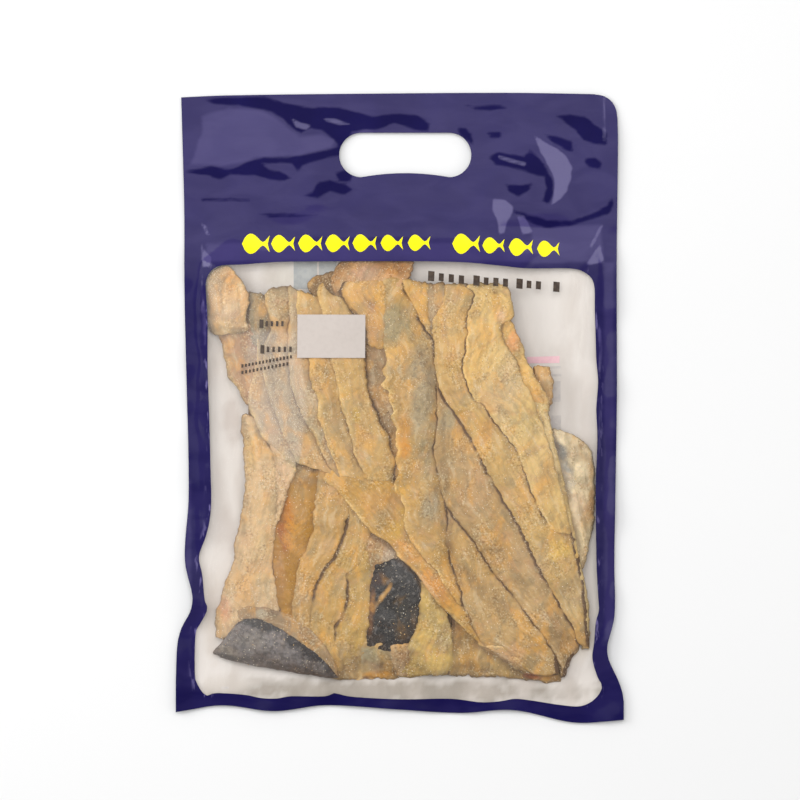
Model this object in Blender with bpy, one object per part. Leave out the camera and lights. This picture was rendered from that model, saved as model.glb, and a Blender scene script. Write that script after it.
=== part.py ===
"""A flat sealed pouch of dried fish fillets with a handle slot in its header.

The pouch lies on its back. Its header points to +Y and its shown face to +Z. The whole sealed bag is
one closed solid: a thin slab for the header and the side seals, swelling over the fillets inside, whose
overlapping strips show as ridges in the front. Lengths are in metres.
"""

import math
from dataclasses import dataclass

import bmesh
import bpy
import numpy as np

MM = 0.001

# Outline of the laminate, as points (x, y) in millimetres that smooth edges run through
LEFT_EDGE = (
    (-120.1, 171.0), (-119.2, 142.0), (-118.4, 110.0), (-118.2, 60.0), (-117.1, 15.0), (-115.9, -48.0),
    (-118.1, -84.0), (-113.4, -108.0), (-121.0, -123.0), (-122.8, -143.0), (-123.0, -168.0),
)
RIGHT_EDGE = (
    (120.0, 172.0), (120.0, 140.0), (119.3, 79.0), (119.4, 6.0), (118.0, -84.0), (118.0, -116.0),
    (113.4, -133.5), (117.2, -143.5), (122.6, -156.0), (123.1, -171.0),
)
TOP_EDGE = ((-120.1, 170.7), (-95.0, 171.8), (-14.0, 172.8), (63.0, 173.2), (105.0, 172.5), (120.0, 172.0))
BOTTOM_EDGE = (
    (-123.0, -167.8), (-98.3, -163.4), (-68.6, -166.7), (-41.1, -163.4), (0.0, -165.8), (33.7, -167.7),
    (62.5, -166.0), (96.9, -173.1), (123.1, -171.0),
)
TOP_CORNER_RADIUS = 16.0 * MM

# The laminate and its long welded edges
LAMINATE = 1.6 * MM
SEAL_WAVE_HEIGHT = 2.6 * MM
SEAL_WAVE_LENGTH = 58.0 * MM
SEAL_RIPPLE_LENGTH = 23.0 * MM
SEAL_WAVE_SHARES = (0.5, 0.3, 0.2)
SEAL_WIDTH = 11.0 * MM
HEADER_LIFT = 2.2 * MM
HEADER_RIPPLE = 0.25
HEADER_WAVE_X = 110.0 * MM
HEADER_WAVE_Y = 160.0 * MM
HEADER_START_Y = 84.0 * MM
HEADER_END_Y = 173.0 * MM

# Places where a side seal is drawn in and stands up: its side (-1 left, 1 right), y and height
PUCKERS = ((-1, -108.0 * MM, 3.4 * MM), (1, -133.0 * MM, 4.0 * MM), (1, -60.0 * MM, 1.2 * MM))
PUCKER_LENGTH = 11.0 * MM

# The press-to-close ridge across the header
ZIP_Y = 107.0 * MM
ZIP_HEIGHT = 1.0 * MM
ZIP_HALF_WIDTH = 2.6 * MM
ZIP_FLANK = 1.5 * MM

# The handle slot: a flat oval whose lower edge bows up in the middle
SLOT_CENTRE = (3.0 * MM, 139.0 * MM)
SLOT_LENGTH = 72.6 * MM
SLOT_HEIGHT = 24.4 * MM
SLOT_LOWER_BOW = 2.2 * MM
SLOT_ARC_STEPS = 9
SLOT_CUT_REACH = 15.0 * MM
WELD_DISTANCE = 0.01 * MM

# The pillow of fish between the seals
PILE_CENTRE = (0.0, -32.0 * MM)
PILE_HALF_WIDTH = 112.0 * MM
PILE_HALF_LENGTH = 127.0 * MM
PILE_HEIGHT = 18.0 * MM
PILE_SQUARENESS = 4.0
PILE_SHOULDER = 0.5
FILLET_CROWN = 5.0 * MM
GAP_DEPTH = 5.0 * MM
RELIEF_FADE = 8.0 * MM

# The net of faces that carries both films
COLUMNS = 58
ROWS = 50
CORNER_STEPS = 5
ROW_CLEARANCE = 2.0 * MM
NET_PASSES = 4
ROUND_STEPS = 8
FLAT_LIMIT = 1e-7
FLAT_ANGLE = math.radians(0.5)
SHARP_ANGLE = math.radians(50)


@dataclass(frozen=True)
class Fillet:
    """A strip of fish: its two ends, how far its middle bows aside, its width and its lift, in mm."""

    start: tuple[float, float]
    end: tuple[float, float]
    bow: float
    width: float
    lift: float


FILLETS = (
    Fillet((-92.0, 70.0), (-93.0, 46.0), 0.0, 32.0, 0.2),
    Fillet((-90.0, 30.0), (-66.0, -28.0), -4.0, 20.0, -0.6),
    Fillet((-70.0, 62.0), (-58.0, -26.0), 2.0, 17.0, 0.6),
    Fillet((-55.0, 64.0), (-42.0, -32.0), 3.0, 17.0, 1.4),
    Fillet((-40.0, 62.0), (-26.0, -38.0), 4.0, 18.0, 2.0),
    Fillet((-26.0, 58.0), (-8.0, -42.0), 5.0, 19.0, 2.5),
    Fillet((-28.0, 71.0), (4.0, 68.0), 2.0, 17.0, 1.2),
    Fillet((-6.0, 56.0), (17.0, -76.0), 5.0, 24.0, 2.2),
    Fillet((14.0, 62.0), (20.0, 42.0), 0.0, 15.0, 0.6),
    Fillet((27.0, 64.0), (46.0, -72.0), 6.0, 25.0, 1.6),
    Fillet((40.0, 66.0), (78.0, -122.0), 9.0, 24.0, 1.0),
    Fillet((57.0, 60.0), (92.0, -92.0), 7.0, 20.0, 0.0),
    Fillet((78.0, 42.0), (84.0, 12.0), 0.0, 26.0, -1.0),
    Fillet((97.0, -16.0), (103.0, -122.0), 3.0, 22.0, -1.2),
    Fillet((-76.0, -18.0), (-94.0, -112.0), 6.0, 26.0, -0.4),
    Fillet((-58.0, -40.0), (-62.0, -110.0), 3.0, 17.0, 0.2),
    Fillet((-42.0, -46.0), (-46.0, -116.0), 3.0, 20.0, 0.8),
    Fillet((-29.0, -62.0), (-30.0, -120.0), 2.0, 20.0, 1.0),
    Fillet((-20.0, -84.0), (-40.0, -140.0), 4.0, 22.0, 0.4),
    Fillet((-16.0, -54.0), (54.0, -128.0), -3.0, 30.0, 1.8),
    Fillet((-3.0, -92.0), (-6.0, -128.0), 0.0, 28.0, 2.2),
    Fillet((-100.0, -130.0), (-38.0, -144.0), 5.0, 20.0, 0.8),
    Fillet((16.0, -102.0), (20.0, -142.0), 0.0, 20.0, 0.4),
    Fillet((44.0, -138.0), (84.0, -144.0), 2.0, 20.0, 0.4),
)


def smooth_through(points, at):
    """Gives the second coordinate of a smooth curve through points, at a value of the first."""
    known = sorted(points)
    spans = len(known) - 1
    index = max(0, min(spans - 1, sum(at > p[0] for p in known) - 1))
    (x0, y0), (x1, y1) = known[index], known[index + 1]
    before, after = known[max(index - 1, 0)], known[min(index + 2, spans)]
    t = min(max((at - x0) / (x1 - x0), 0.0), 1.0)
    slope0 = (y1 - before[1]) / (x1 - before[0]) * (x1 - x0)
    slope1 = (after[1] - y0) / (after[0] - x0) * (x1 - x0)
    cubic = (
        (2 * t**3 - 3 * t**2 + 1) * y0
        + (t**3 - 2 * t**2 + t) * slope0
        + (-2 * t**3 + 3 * t**2) * y1
        + (t**3 - t**2) * slope1
    )
    return cubic


def side_edge(points, y):
    """Gives the x of a side edge at height y, both in metres."""
    turned = [(p[1], p[0]) for p in points]
    return smooth_through(turned, y / MM) * MM


def end_edge(points, x):
    """Gives the y of the top or bottom edge at x, both in metres."""
    return smooth_through(points, x / MM) * MM


def corner_cut(y):
    """Gives how far the rounded top right corner pulls the right edge in, at height y."""
    top = TOP_EDGE[-1][1] * MM
    depth = y - (top - TOP_CORNER_RADIUS)
    if depth <= 0:
        return 0.0
    depth = min(depth, TOP_CORNER_RADIUS)
    return TOP_CORNER_RADIUS - math.sqrt(TOP_CORNER_RADIUS**2 - depth**2)


def ease(value):
    """Gives a smooth step from 0 to 1 as value goes from 0 to 1."""
    t = min(max(value, 0.0), 1.0)
    return t * t * (3 - 2 * t)


def pile_height(x, y):
    """Gives the pillow's height over the floor, without the ridges of single fillets."""
    across = 1 - abs((x - PILE_CENTRE[0]) / PILE_HALF_WIDTH) ** PILE_SQUARENESS
    along = 1 - abs((y - PILE_CENTRE[1]) / PILE_HALF_LENGTH) ** PILE_SQUARENESS
    if across <= 0 or along <= 0:
        return 0.0
    return PILE_HEIGHT * (across * along) ** PILE_SHOULDER


def spine_of(fillet):
    """Gives a fillet's middle line as points in metres, bowed aside by a half sine."""
    (x0, y0), (x1, y1) = fillet.start, fillet.end
    length = math.hypot(x1 - x0, y1 - y0)
    aside = ((y0 - y1) / length, (x1 - x0) / length)
    points = []
    for step in range(ROUND_STEPS + 1):
        t = step / ROUND_STEPS
        shift = fillet.bow * math.sin(math.pi * t)
        x = x0 + (x1 - x0) * t + aside[0] * shift
        y = y0 + (y1 - y0) * t + aside[1] * shift
        points.append((x * MM, y * MM))
    return points


def distance_to(line, x, y):
    """Gives the distance from (x, y) to a line of points."""
    nearest = math.inf
    for (x0, y0), (x1, y1) in zip(line, line[1:]):
        run = (x1 - x0) ** 2 + (y1 - y0) ** 2
        t = min(max(((x - x0) * (x1 - x0) + (y - y0) * (y1 - y0)) / run, 0.0), 1.0)
        nearest = min(nearest, math.hypot(x - x0 - t * (x1 - x0), y - y0 - t * (y1 - y0)))
    return nearest


SPINES = [(fillet, spine_of(fillet)) for fillet in FILLETS]


def relief(x, y):
    """Gives the height of the uppermost fillet at (x, y), against the pillow's even surface."""
    highest = -GAP_DEPTH
    for fillet, line in SPINES:
        off = distance_to(line, x, y) / (fillet.width * MM / 2)
        if off < 1:
            rise = fillet.lift * MM + FILLET_CROWN * (math.sqrt(1 - off * off) - 1)
            highest = max(highest, rise)
    return highest


def edge_distance(x, y):
    """Gives how far (x, y) lies inside the nearest of the side edges and the bottom edge."""
    left = x - side_edge(LEFT_EDGE, y)
    right = side_edge(RIGHT_EDGE, y) - x
    return min(left, right, y - end_edge(BOTTOM_EDGE, x))


def seal_wave(x, y):
    """Gives how far the rippled welded edges stand off the floor."""
    near = 1 - ease(edge_distance(x, y) / SEAL_WIDTH)
    side = math.copysign(1.0, x)
    along = y + side * (x if y < PILE_CENTRE[1] - PILE_HALF_LENGTH else 0.0)
    mean, wave, fine = SEAL_WAVE_SHARES
    ripple = mean + wave * math.sin(2 * math.pi * along / SEAL_WAVE_LENGTH + side)
    ripple += fine * math.sin(2 * math.pi * along / SEAL_RIPPLE_LENGTH - side)
    pucker = sum(
        height * math.exp(-(((y - place) / PUCKER_LENGTH) ** 2))
        for turned, place, height in PUCKERS
        if turned == side
    )
    return near * (SEAL_WAVE_HEIGHT * ripple + pucker)


def header_lift(x, y):
    """Gives how far the header stands off the floor between the fish and its top edge."""
    along = (y - HEADER_START_Y) / (HEADER_END_Y - HEADER_START_Y)
    if along <= 0:
        return 0.0
    swell = math.sin(math.pi * min(along, 1.0)) ** 2
    wave = math.sin(2 * math.pi * (x / HEADER_WAVE_X + y / HEADER_WAVE_Y))
    return HEADER_LIFT * swell * (1 - HEADER_RIPPLE + HEADER_RIPPLE * wave)


def back_height(x, y):
    """Gives the back film's height over the floor."""
    return seal_wave(x, y) if y < HEADER_START_Y else header_lift(x, y)


def front_height(x, y, ridge):
    """Gives the front film's height over the floor, with ridge on top where the laminate is flat."""
    swell = pile_height(x, y)
    over = swell + min(swell / RELIEF_FADE, 1.0) * relief(x, y) if swell > 0 else 0.0
    return max(LAMINATE + over, back_height(x, y) + LAMINATE + ridge)


def row_levels():
    """Gives the rows of the net, from 0 at the bottom edge to 1 at the top, and those on the zip's crest.

    Rows are added at the zip's foot and crest and along the rounded top corner.
    """
    low, high = end_edge(BOTTOM_EDGE, 0.0), end_edge(TOP_EDGE, 0.0)
    crest_offset = ZIP_HALF_WIDTH - ZIP_FLANK
    offsets = (-ZIP_HALF_WIDTH, -crest_offset, crest_offset, ZIP_HALF_WIDTH)
    zip_rows = [(ZIP_Y + offset - low) / (high - low) for offset in offsets]
    corner = TOP_EDGE[-1][1] * MM - TOP_CORNER_RADIUS
    turns = [math.radians(90 * step / CORNER_STEPS) for step in range(1, CORNER_STEPS)]
    corner_rows = [(corner + TOP_CORNER_RADIUS * math.sin(turn) - low) / (high - low) for turn in turns]
    extra = zip_rows + corner_rows
    clear = ROW_CLEARANCE / (high - low)
    even = [row / ROWS for row in range(ROWS + 1)]
    kept = [v for v in even if all(abs(v - e) > clear for e in extra) or v in (0.0, 1.0)]
    return sorted(kept + extra), set(zip_rows[1:3])


def net_point(u, v):
    """Gives the point of the outline's net at u across and v up, both from 0 to 1."""
    y = end_edge(BOTTOM_EDGE, 0.0) * (1 - v) + end_edge(TOP_EDGE, 0.0) * v
    for _ in range(NET_PASSES):
        left = side_edge(LEFT_EDGE, y)
        right = side_edge(RIGHT_EDGE, y) - corner_cut(y)
        x = left * (1 - u) + right * u
        y = end_edge(BOTTOM_EDGE, x) * (1 - v) + end_edge(TOP_EDGE, x) * v
    return x, y


def span_valleys(height):
    """Lets the front film bridge narrow gaps, which it fills up halfway to its neighbours' mean."""
    around = height[:-2, 1:-1] + height[2:, 1:-1] + height[1:-1, :-2] + height[1:-1, 2:]
    spanned = height.copy()
    spanned[1:-1, 1:-1] = np.maximum(height[1:-1, 1:-1], (height[1:-1, 1:-1] + around / 4) / 2)
    return spanned


def build_films(mesh):
    """Makes the closed shell between the front and the back film in mesh."""
    levels, crest_rows = row_levels()
    last_row = len(levels) - 1
    net = bmesh.new()
    bmesh.ops.create_grid(net, x_segments=COLUMNS, y_segments=last_row, size=1.0)
    column_of = net.verts.layers.int.new("column")
    row_of = net.verts.layers.int.new("row")
    front = np.zeros((COLUMNS + 1, last_row + 1))
    for vert in net.verts:
        column = round((vert.co.x + 1) / 2 * COLUMNS)
        row = round((vert.co.y + 1) / 2 * last_row)
        vert[column_of], vert[row_of] = column, row
        x, y = net_point(column / COLUMNS, levels[row])
        ridge = ZIP_HEIGHT if levels[row] in crest_rows and 0 < column < COLUMNS else 0.0
        front[column, row] = front_height(x, y, ridge)
        vert.co = (x, y, back_height(x, y))
    front = span_valleys(front)
    raised = bmesh.ops.extrude_face_region(net, geom=list(net.faces))
    for item in raised["geom"]:
        if isinstance(item, bmesh.types.BMVert):
            item.co.z = front[item[column_of], item[row_of]]
    bmesh.ops.recalc_face_normals(net, faces=list(net.faces))
    flat = [face for face in net.faces if all(v.co.z < FLAT_LIMIT for v in face.verts)]
    edges = {edge for face in flat for edge in face.edges}
    bmesh.ops.dissolve_limit(net, angle_limit=FLAT_ANGLE, edges=list(edges), verts=[])
    centre_on_origin(net)
    net.to_mesh(mesh)
    net.free()


def centre_on_origin(net):
    """Moves the shell so that the middle of its box stands on the origin."""
    lows = [min(v.co[axis] for v in net.verts) for axis in range(3)]
    highs = [max(v.co[axis] for v in net.verts) for axis in range(3)]
    shift = (-(lows[0] + highs[0]) / 2, -(lows[1] + highs[1]) / 2, -lows[2])
    bmesh.ops.translate(net, verts=list(net.verts), vec=shift)


def slot_outline():
    """Gives the handle slot's outline: two round ends, a straight top and a bowed lower edge."""
    radius = SLOT_HEIGHT / 2
    reach = SLOT_LENGTH / 2 - radius
    points = []
    for side in (1, -1):
        for step in range(SLOT_ARC_STEPS + 1):
            turn = math.pi * (step / SLOT_ARC_STEPS - 0.5)
            x = side * (reach + radius * math.cos(turn))
            y = side * radius * math.sin(turn)
            points.append((x, y))
    bowed = []
    for index in range(1, ROUND_STEPS):
        t = index / ROUND_STEPS
        bowed.append((-reach + 2 * reach * t, -radius + SLOT_LOWER_BOW * math.sin(math.pi * t)))
    return [(SLOT_CENTRE[0] + x, SLOT_CENTRE[1] + y) for x, y in points + bowed]


def build_slot_cutter(collection):
    """Makes the handle slot's cutter, a flat curve drawn through the header's thickness."""
    curve = bpy.data.curves.new("handle_slot_outline", "CURVE")
    curve.dimensions = "2D"
    curve.fill_mode = "BOTH"
    curve.extrude = SLOT_CUT_REACH
    outline = slot_outline()
    spline = curve.splines.new("POLY")
    spline.points.add(len(outline) - 1)
    for point, (x, y) in zip(spline.points, outline):
        point.co = (x, y, 0.0, 1.0)
    spline.use_cyclic_u = True
    drawn = bpy.data.objects.new("handle_slot_outline", curve)
    collection.objects.link(drawn)
    bpy.context.view_layer.update()
    shape = bpy.data.meshes.new_from_object(drawn.evaluated_get(bpy.context.evaluated_depsgraph_get()))
    net = bmesh.new()
    net.from_mesh(shape)
    bmesh.ops.remove_doubles(net, verts=list(net.verts), dist=WELD_DISTANCE)
    bmesh.ops.recalc_face_normals(net, faces=list(net.faces))
    net.to_mesh(shape)
    net.free()
    cutter = bpy.data.objects.new("handle_slot_cutter", shape)
    cutter.matrix_world = drawn.matrix_world
    bpy.data.objects.remove(drawn)
    collection.objects.link(cutter)
    cutter.hide_render = True
    cutter.display_type = "WIRE"
    return cutter


def printed_laminate():
    """Makes the pouch's material, a glossy dark blue printed film."""
    material = bpy.data.materials.new("printed_laminate")
    material.use_nodes = True
    shader = material.node_tree.nodes["Principled BSDF"]
    shader.inputs["Base Color"].default_value = (0.028, 0.022, 0.09, 1.0)
    shader.inputs["Roughness"].default_value = 0.22
    shader.inputs["Metallic"].default_value = 0.0
    return material


def build_pouch(collection, cutter):
    """Makes the sealed pouch and cuts its handle slot."""
    mesh = bpy.data.meshes.new("pouch")
    build_films(mesh)
    mesh.materials.append(printed_laminate())
    pouch = bpy.data.objects.new("pouch", mesh)
    collection.objects.link(pouch)
    cut = pouch.modifiers.new("handle_slot", "BOOLEAN")
    cut.operation = "DIFFERENCE"
    cut.solver = "EXACT"
    cut.object = cutter
    mesh.shade_smooth()
    mesh.set_sharp_from_angle(angle=SHARP_ANGLE)
    return pouch


def main():
    """Clears the scene and builds the pouch."""
    for old in list(bpy.data.objects):
        bpy.data.objects.remove(old)
    part = bpy.data.collections.new("dried_fish_pouch")
    cutters = bpy.data.collections.new("cutters")
    bpy.context.scene.collection.children.link(part)
    bpy.context.scene.collection.children.link(cutters)
    build_pouch(part, build_slot_cutter(cutters))


main()
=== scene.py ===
"""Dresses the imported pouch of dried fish: its film and print, the fillets inside, their salt, and the studio.

Lengths are in metres. Places that come from the photograph are pixels of its 800 x 800 frame, which
Photo.at turns into the frame of the CAD: +X to the right, +Y to the header and +Z to the camera.
"""

import logging
import math
from collections.abc import Sequence
from dataclasses import dataclass, field
from enum import Enum
from typing import Any

import bmesh
import bpy
import numpy as np
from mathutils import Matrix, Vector
from mathutils.bvhtree import BVHTree


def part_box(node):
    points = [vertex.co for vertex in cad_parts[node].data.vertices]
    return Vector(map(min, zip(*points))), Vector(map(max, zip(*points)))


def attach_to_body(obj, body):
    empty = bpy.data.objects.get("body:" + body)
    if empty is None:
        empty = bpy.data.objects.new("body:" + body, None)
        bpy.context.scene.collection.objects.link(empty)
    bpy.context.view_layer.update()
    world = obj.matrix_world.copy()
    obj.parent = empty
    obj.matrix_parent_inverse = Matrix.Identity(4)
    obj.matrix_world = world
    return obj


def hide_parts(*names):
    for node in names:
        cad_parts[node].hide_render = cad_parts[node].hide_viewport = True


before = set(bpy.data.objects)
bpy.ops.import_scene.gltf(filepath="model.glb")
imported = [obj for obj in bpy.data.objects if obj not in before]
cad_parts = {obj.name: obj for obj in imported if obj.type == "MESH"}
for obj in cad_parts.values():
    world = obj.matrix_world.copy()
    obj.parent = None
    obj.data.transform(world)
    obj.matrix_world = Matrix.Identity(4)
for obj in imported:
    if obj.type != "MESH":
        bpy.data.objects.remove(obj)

log = logging.getLogger("dried_fish_pouch")
MM = 0.001
NODE = "pouch"
Pixels = Sequence[tuple[float, float]]
Colour = tuple[float, float, float]


# ---------------------------------------------------------------------------------- places and shapes
class Photo:
    """The photograph's frame: its size in pixels, its scale and the pixel that lies over the origin."""

    SIDE = 800
    SCALE = 0.55 * MM
    ORIGIN = (399.75, 407.9)

    @classmethod
    def at(cls, pixels: Pixels) -> np.ndarray:
        """Turns pixels into places on the table.

        Args:
            pixels: points (across, down) in the photograph.

        Returns:
            An array of points (x, y) in metres.
        """
        places = np.asarray(pixels, dtype=float) - cls.ORIGIN
        return places * (cls.SCALE, -cls.SCALE)


def linear(colour: Colour, gain: float = 1.0) -> tuple[float, float, float]:
    """Turns a colour seen in the photograph, 0 to 255, into a linear one.

    Args:
        colour: red, green and blue as seen.
        gain: a factor for how brightly the studio lights it.

    Returns:
        The linear colour.
    """
    parts = []
    for value in colour:
        part = value / 255
        part = part / 12.92 if part <= 0.04045 else ((part + 0.055) / 1.055) ** 2.4
        parts.append(part * gain)
    return tuple(parts)


SPAN_STEPS = 12


def smooth_line(points: np.ndarray, count: int) -> np.ndarray:
    """Runs a smooth curve through points and spaces it evenly.

    Args:
        points: the points that the curve passes.
        count: how many points come back.

    Returns:
        The curve as evenly spaced points.
    """
    ends = np.vstack((2 * points[0] - points[1], points, 2 * points[-1] - points[-2]))
    steps = np.linspace(0, 1, SPAN_STEPS, endpoint=False)[:, None]
    runs = []
    for i in range(1, len(ends) - 2):
        a, b, c, d = ends[i - 1], ends[i], ends[i + 1], ends[i + 2]
        run = 2 * b + (c - a) * steps + (2 * a - 5 * b + 4 * c - d) * steps**2
        runs.append(0.5 * (run + (3 * b - a - 3 * c + d) * steps**3))
    fine = np.vstack(runs + [points[-1:]])
    along = np.concatenate(([0], np.cumsum(np.hypot(*np.diff(fine, axis=0).T))))
    wanted = np.linspace(0, along[-1], count)
    return np.column_stack([np.interp(wanted, along, fine[:, k]) for k in (0, 1)])


def line_length(points: np.ndarray) -> float:
    """Returns the length of a line of points."""
    return float(np.hypot(*np.diff(points, axis=0).T).sum())


TABLE = 64


def rough(x: np.ndarray, y: np.ndarray, size: float, seed: int) -> np.ndarray:
    """Gives a smooth random field over the table.

    Args:
        x: places across.
        y: places along.
        size: the distance between one rise and the next.
        seed: picks the field.

    Returns:
        Values from -1 to 1, the same at each run.
    """
    table = np.random.default_rng(seed).uniform(-1, 1, (TABLE, TABLE))
    turn = 0.4 + seed * 1.7
    gx = (x * math.cos(turn) + y * math.sin(turn)) / size + 7.3
    gy = (y * math.cos(turn) - x * math.sin(turn)) / size + 3.1
    ix, iy = np.floor(gx).astype(int), np.floor(gy).astype(int)
    fx, fy = gx - ix, gy - iy
    fx, fy = fx * fx * (3 - 2 * fx), fy * fy * (3 - 2 * fy)
    i, j, next_i, next_j = ix % TABLE, iy % TABLE, (ix + 1) % TABLE, (iy + 1) % TABLE
    low = table[i, j] * (1 - fx) + table[next_i, j] * fx
    high = table[i, next_j] * (1 - fx) + table[next_i, next_j] * fx
    return low * (1 - fy) + high * fy


def waves(x: np.ndarray, y: np.ndarray, base: float, *parts: tuple[float, float, int]) -> np.ndarray:
    """Adds random fields up.

    Args:
        x: places across.
        y: places along.
        base: the value that they vary about.
        parts: the height, size and seed of each field.

    Returns:
        The sum at each place.
    """
    total = base
    for height, size, seed in parts:
        total = total + height * rough(x, y, size, seed)
    return total


def linked(name: str, data: Any) -> bpy.types.Object:
    """Returns a new object of the scene that holds a mesh, a lamp or a camera."""
    item = bpy.data.objects.new(name, data)
    bpy.context.scene.collection.objects.link(item)
    return item


def note(piece: bpy.types.Object) -> None:
    """Logs a finished piece."""
    log.info("%s: %d faces", piece.name, len(piece.data.polygons))


def inside_by(points: np.ndarray, outline: np.ndarray) -> np.ndarray:
    """Measures how far points lie inside a closed outline.

    Args:
        points: the points to measure.
        outline: the outline's corners in order.

    Returns:
        Distances to the outline, negative outside it.
    """
    far = np.full(len(points), 1e9)
    odd = np.zeros(len(points), dtype=bool)
    for a, b in zip(outline, np.roll(outline, -1, axis=0)):
        edge, to = b - a, points - a
        share = np.clip(to @ edge / max(edge @ edge, 1e-18), 0, 1)
        far = np.minimum(far, np.hypot(*(to - share[:, None] * edge).T))
        crosses = (a[1] > points[:, 1]) != (b[1] > points[:, 1])
        if abs(edge[1]) > 1e-12:
            odd ^= crosses & (points[:, 0] < a[0] + (points[:, 1] - a[1]) / edge[1] * edge[0])
    return np.where(odd, far, -far)


class Field:
    """A height over every square millimetre of the table."""

    CELL = 1.0 * MM
    MARGIN = 6

    def __init__(self, low: Vector, high: Vector, value: float = 0.0) -> None:
        """Lays out the cells.

        Args:
            low: the lowest corner that the field covers.
            high: the highest corner.
            value: the height at the start.
        """
        self.start = np.array((low[0], low[1])) - self.MARGIN * self.CELL
        size = (np.array((high[0], high[1])) - self.start) / self.CELL
        self.shape = tuple(int(n) + self.MARGIN + 1 for n in size)
        self.values = np.full(self.shape, value)

    def places(self) -> tuple[np.ndarray, np.ndarray]:
        """Returns the x and y of each cell."""
        i, j = np.indices(self.shape)
        return self.start[0] + i * self.CELL, self.start[1] + j * self.CELL

    def copy(self, values: np.ndarray) -> "Field":
        """Returns a field on the same cells with other values."""
        other = Field.__new__(Field)
        other.start, other.shape, other.values = self.start, self.shape, values
        return other

    def at(self, x: np.ndarray, y: np.ndarray) -> np.ndarray:
        """Reads heights between the cells.

        Args:
            x: places across.
            y: places along.

        Returns:
            The heights there.
        """
        gx = np.clip((x - self.start[0]) / self.CELL, 0, self.shape[0] - 1.001)
        gy = np.clip((y - self.start[1]) / self.CELL, 0, self.shape[1] - 1.001)
        i, j = gx.astype(int), gy.astype(int)
        fx, fy, v = gx - i, gy - j, self.values
        low = v[i, j] * (1 - fx) + v[i + 1, j] * fx
        high = v[i, j + 1] * (1 - fx) + v[i + 1, j + 1] * fx
        return low * (1 - fy) + high * fy

    def raise_to(self, x: np.ndarray, y: np.ndarray, z: np.ndarray) -> None:
        """Lifts the cells round each point to its height where they are lower.

        Args:
            x: places across.
            y: places along.
            z: the heights there.
        """
        gx, gy = (x - self.start[0]) / self.CELL, (y - self.start[1]) / self.CELL
        for dx in (0, 1):
            for dy in (0, 1):
                i = np.clip(gx.astype(int) + dx, 0, self.shape[0] - 1)
                j = np.clip(gy.astype(int) + dy, 0, self.shape[1] - 1)
                np.maximum.at(self.values, (i, j), z)

    def _moved(self, values: np.ndarray, reach: float, axis: int) -> list[np.ndarray]:
        """Returns values moved along an axis by every cell within a distance, either way.

        Args:
            values: the values.
            reach: the distance.
            axis: 0 for across, 1 for along.

        Returns:
            The moved values, one array for each cell.
        """
        size = max(1, int(reach / self.CELL))
        padded = np.pad(values, [(size, size) if k == axis else (0, 0) for k in (0, 1)], "edge")
        return [np.take(padded, np.arange(n, n + values.shape[axis]), axis=axis) for n in range(2 * size + 1)]

    def blurred(self, reach: float) -> "Field":
        """Returns the field smoothed over a distance.

        Args:
            reach: the distance.

        Returns:
            The smoothed field.
        """
        values = self.values
        for axis in (0, 1):
            moved = self._moved(values, reach, axis)
            kernel = np.hanning(len(moved) + 2)[1:-1]
            kernel /= kernel.sum()
            values = sum(weight * part for weight, part in zip(kernel, moved))
        return self.copy(values)

    def crowned(self, reach: float) -> "Field":
        """Returns the highest value within a distance of each cell.

        Args:
            reach: the distance.

        Returns:
            The field of those values.
        """
        values = self.values
        for axis in (0, 1):
            values = np.maximum.reduce(self._moved(values, reach, axis))
        return self.copy(values)


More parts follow.
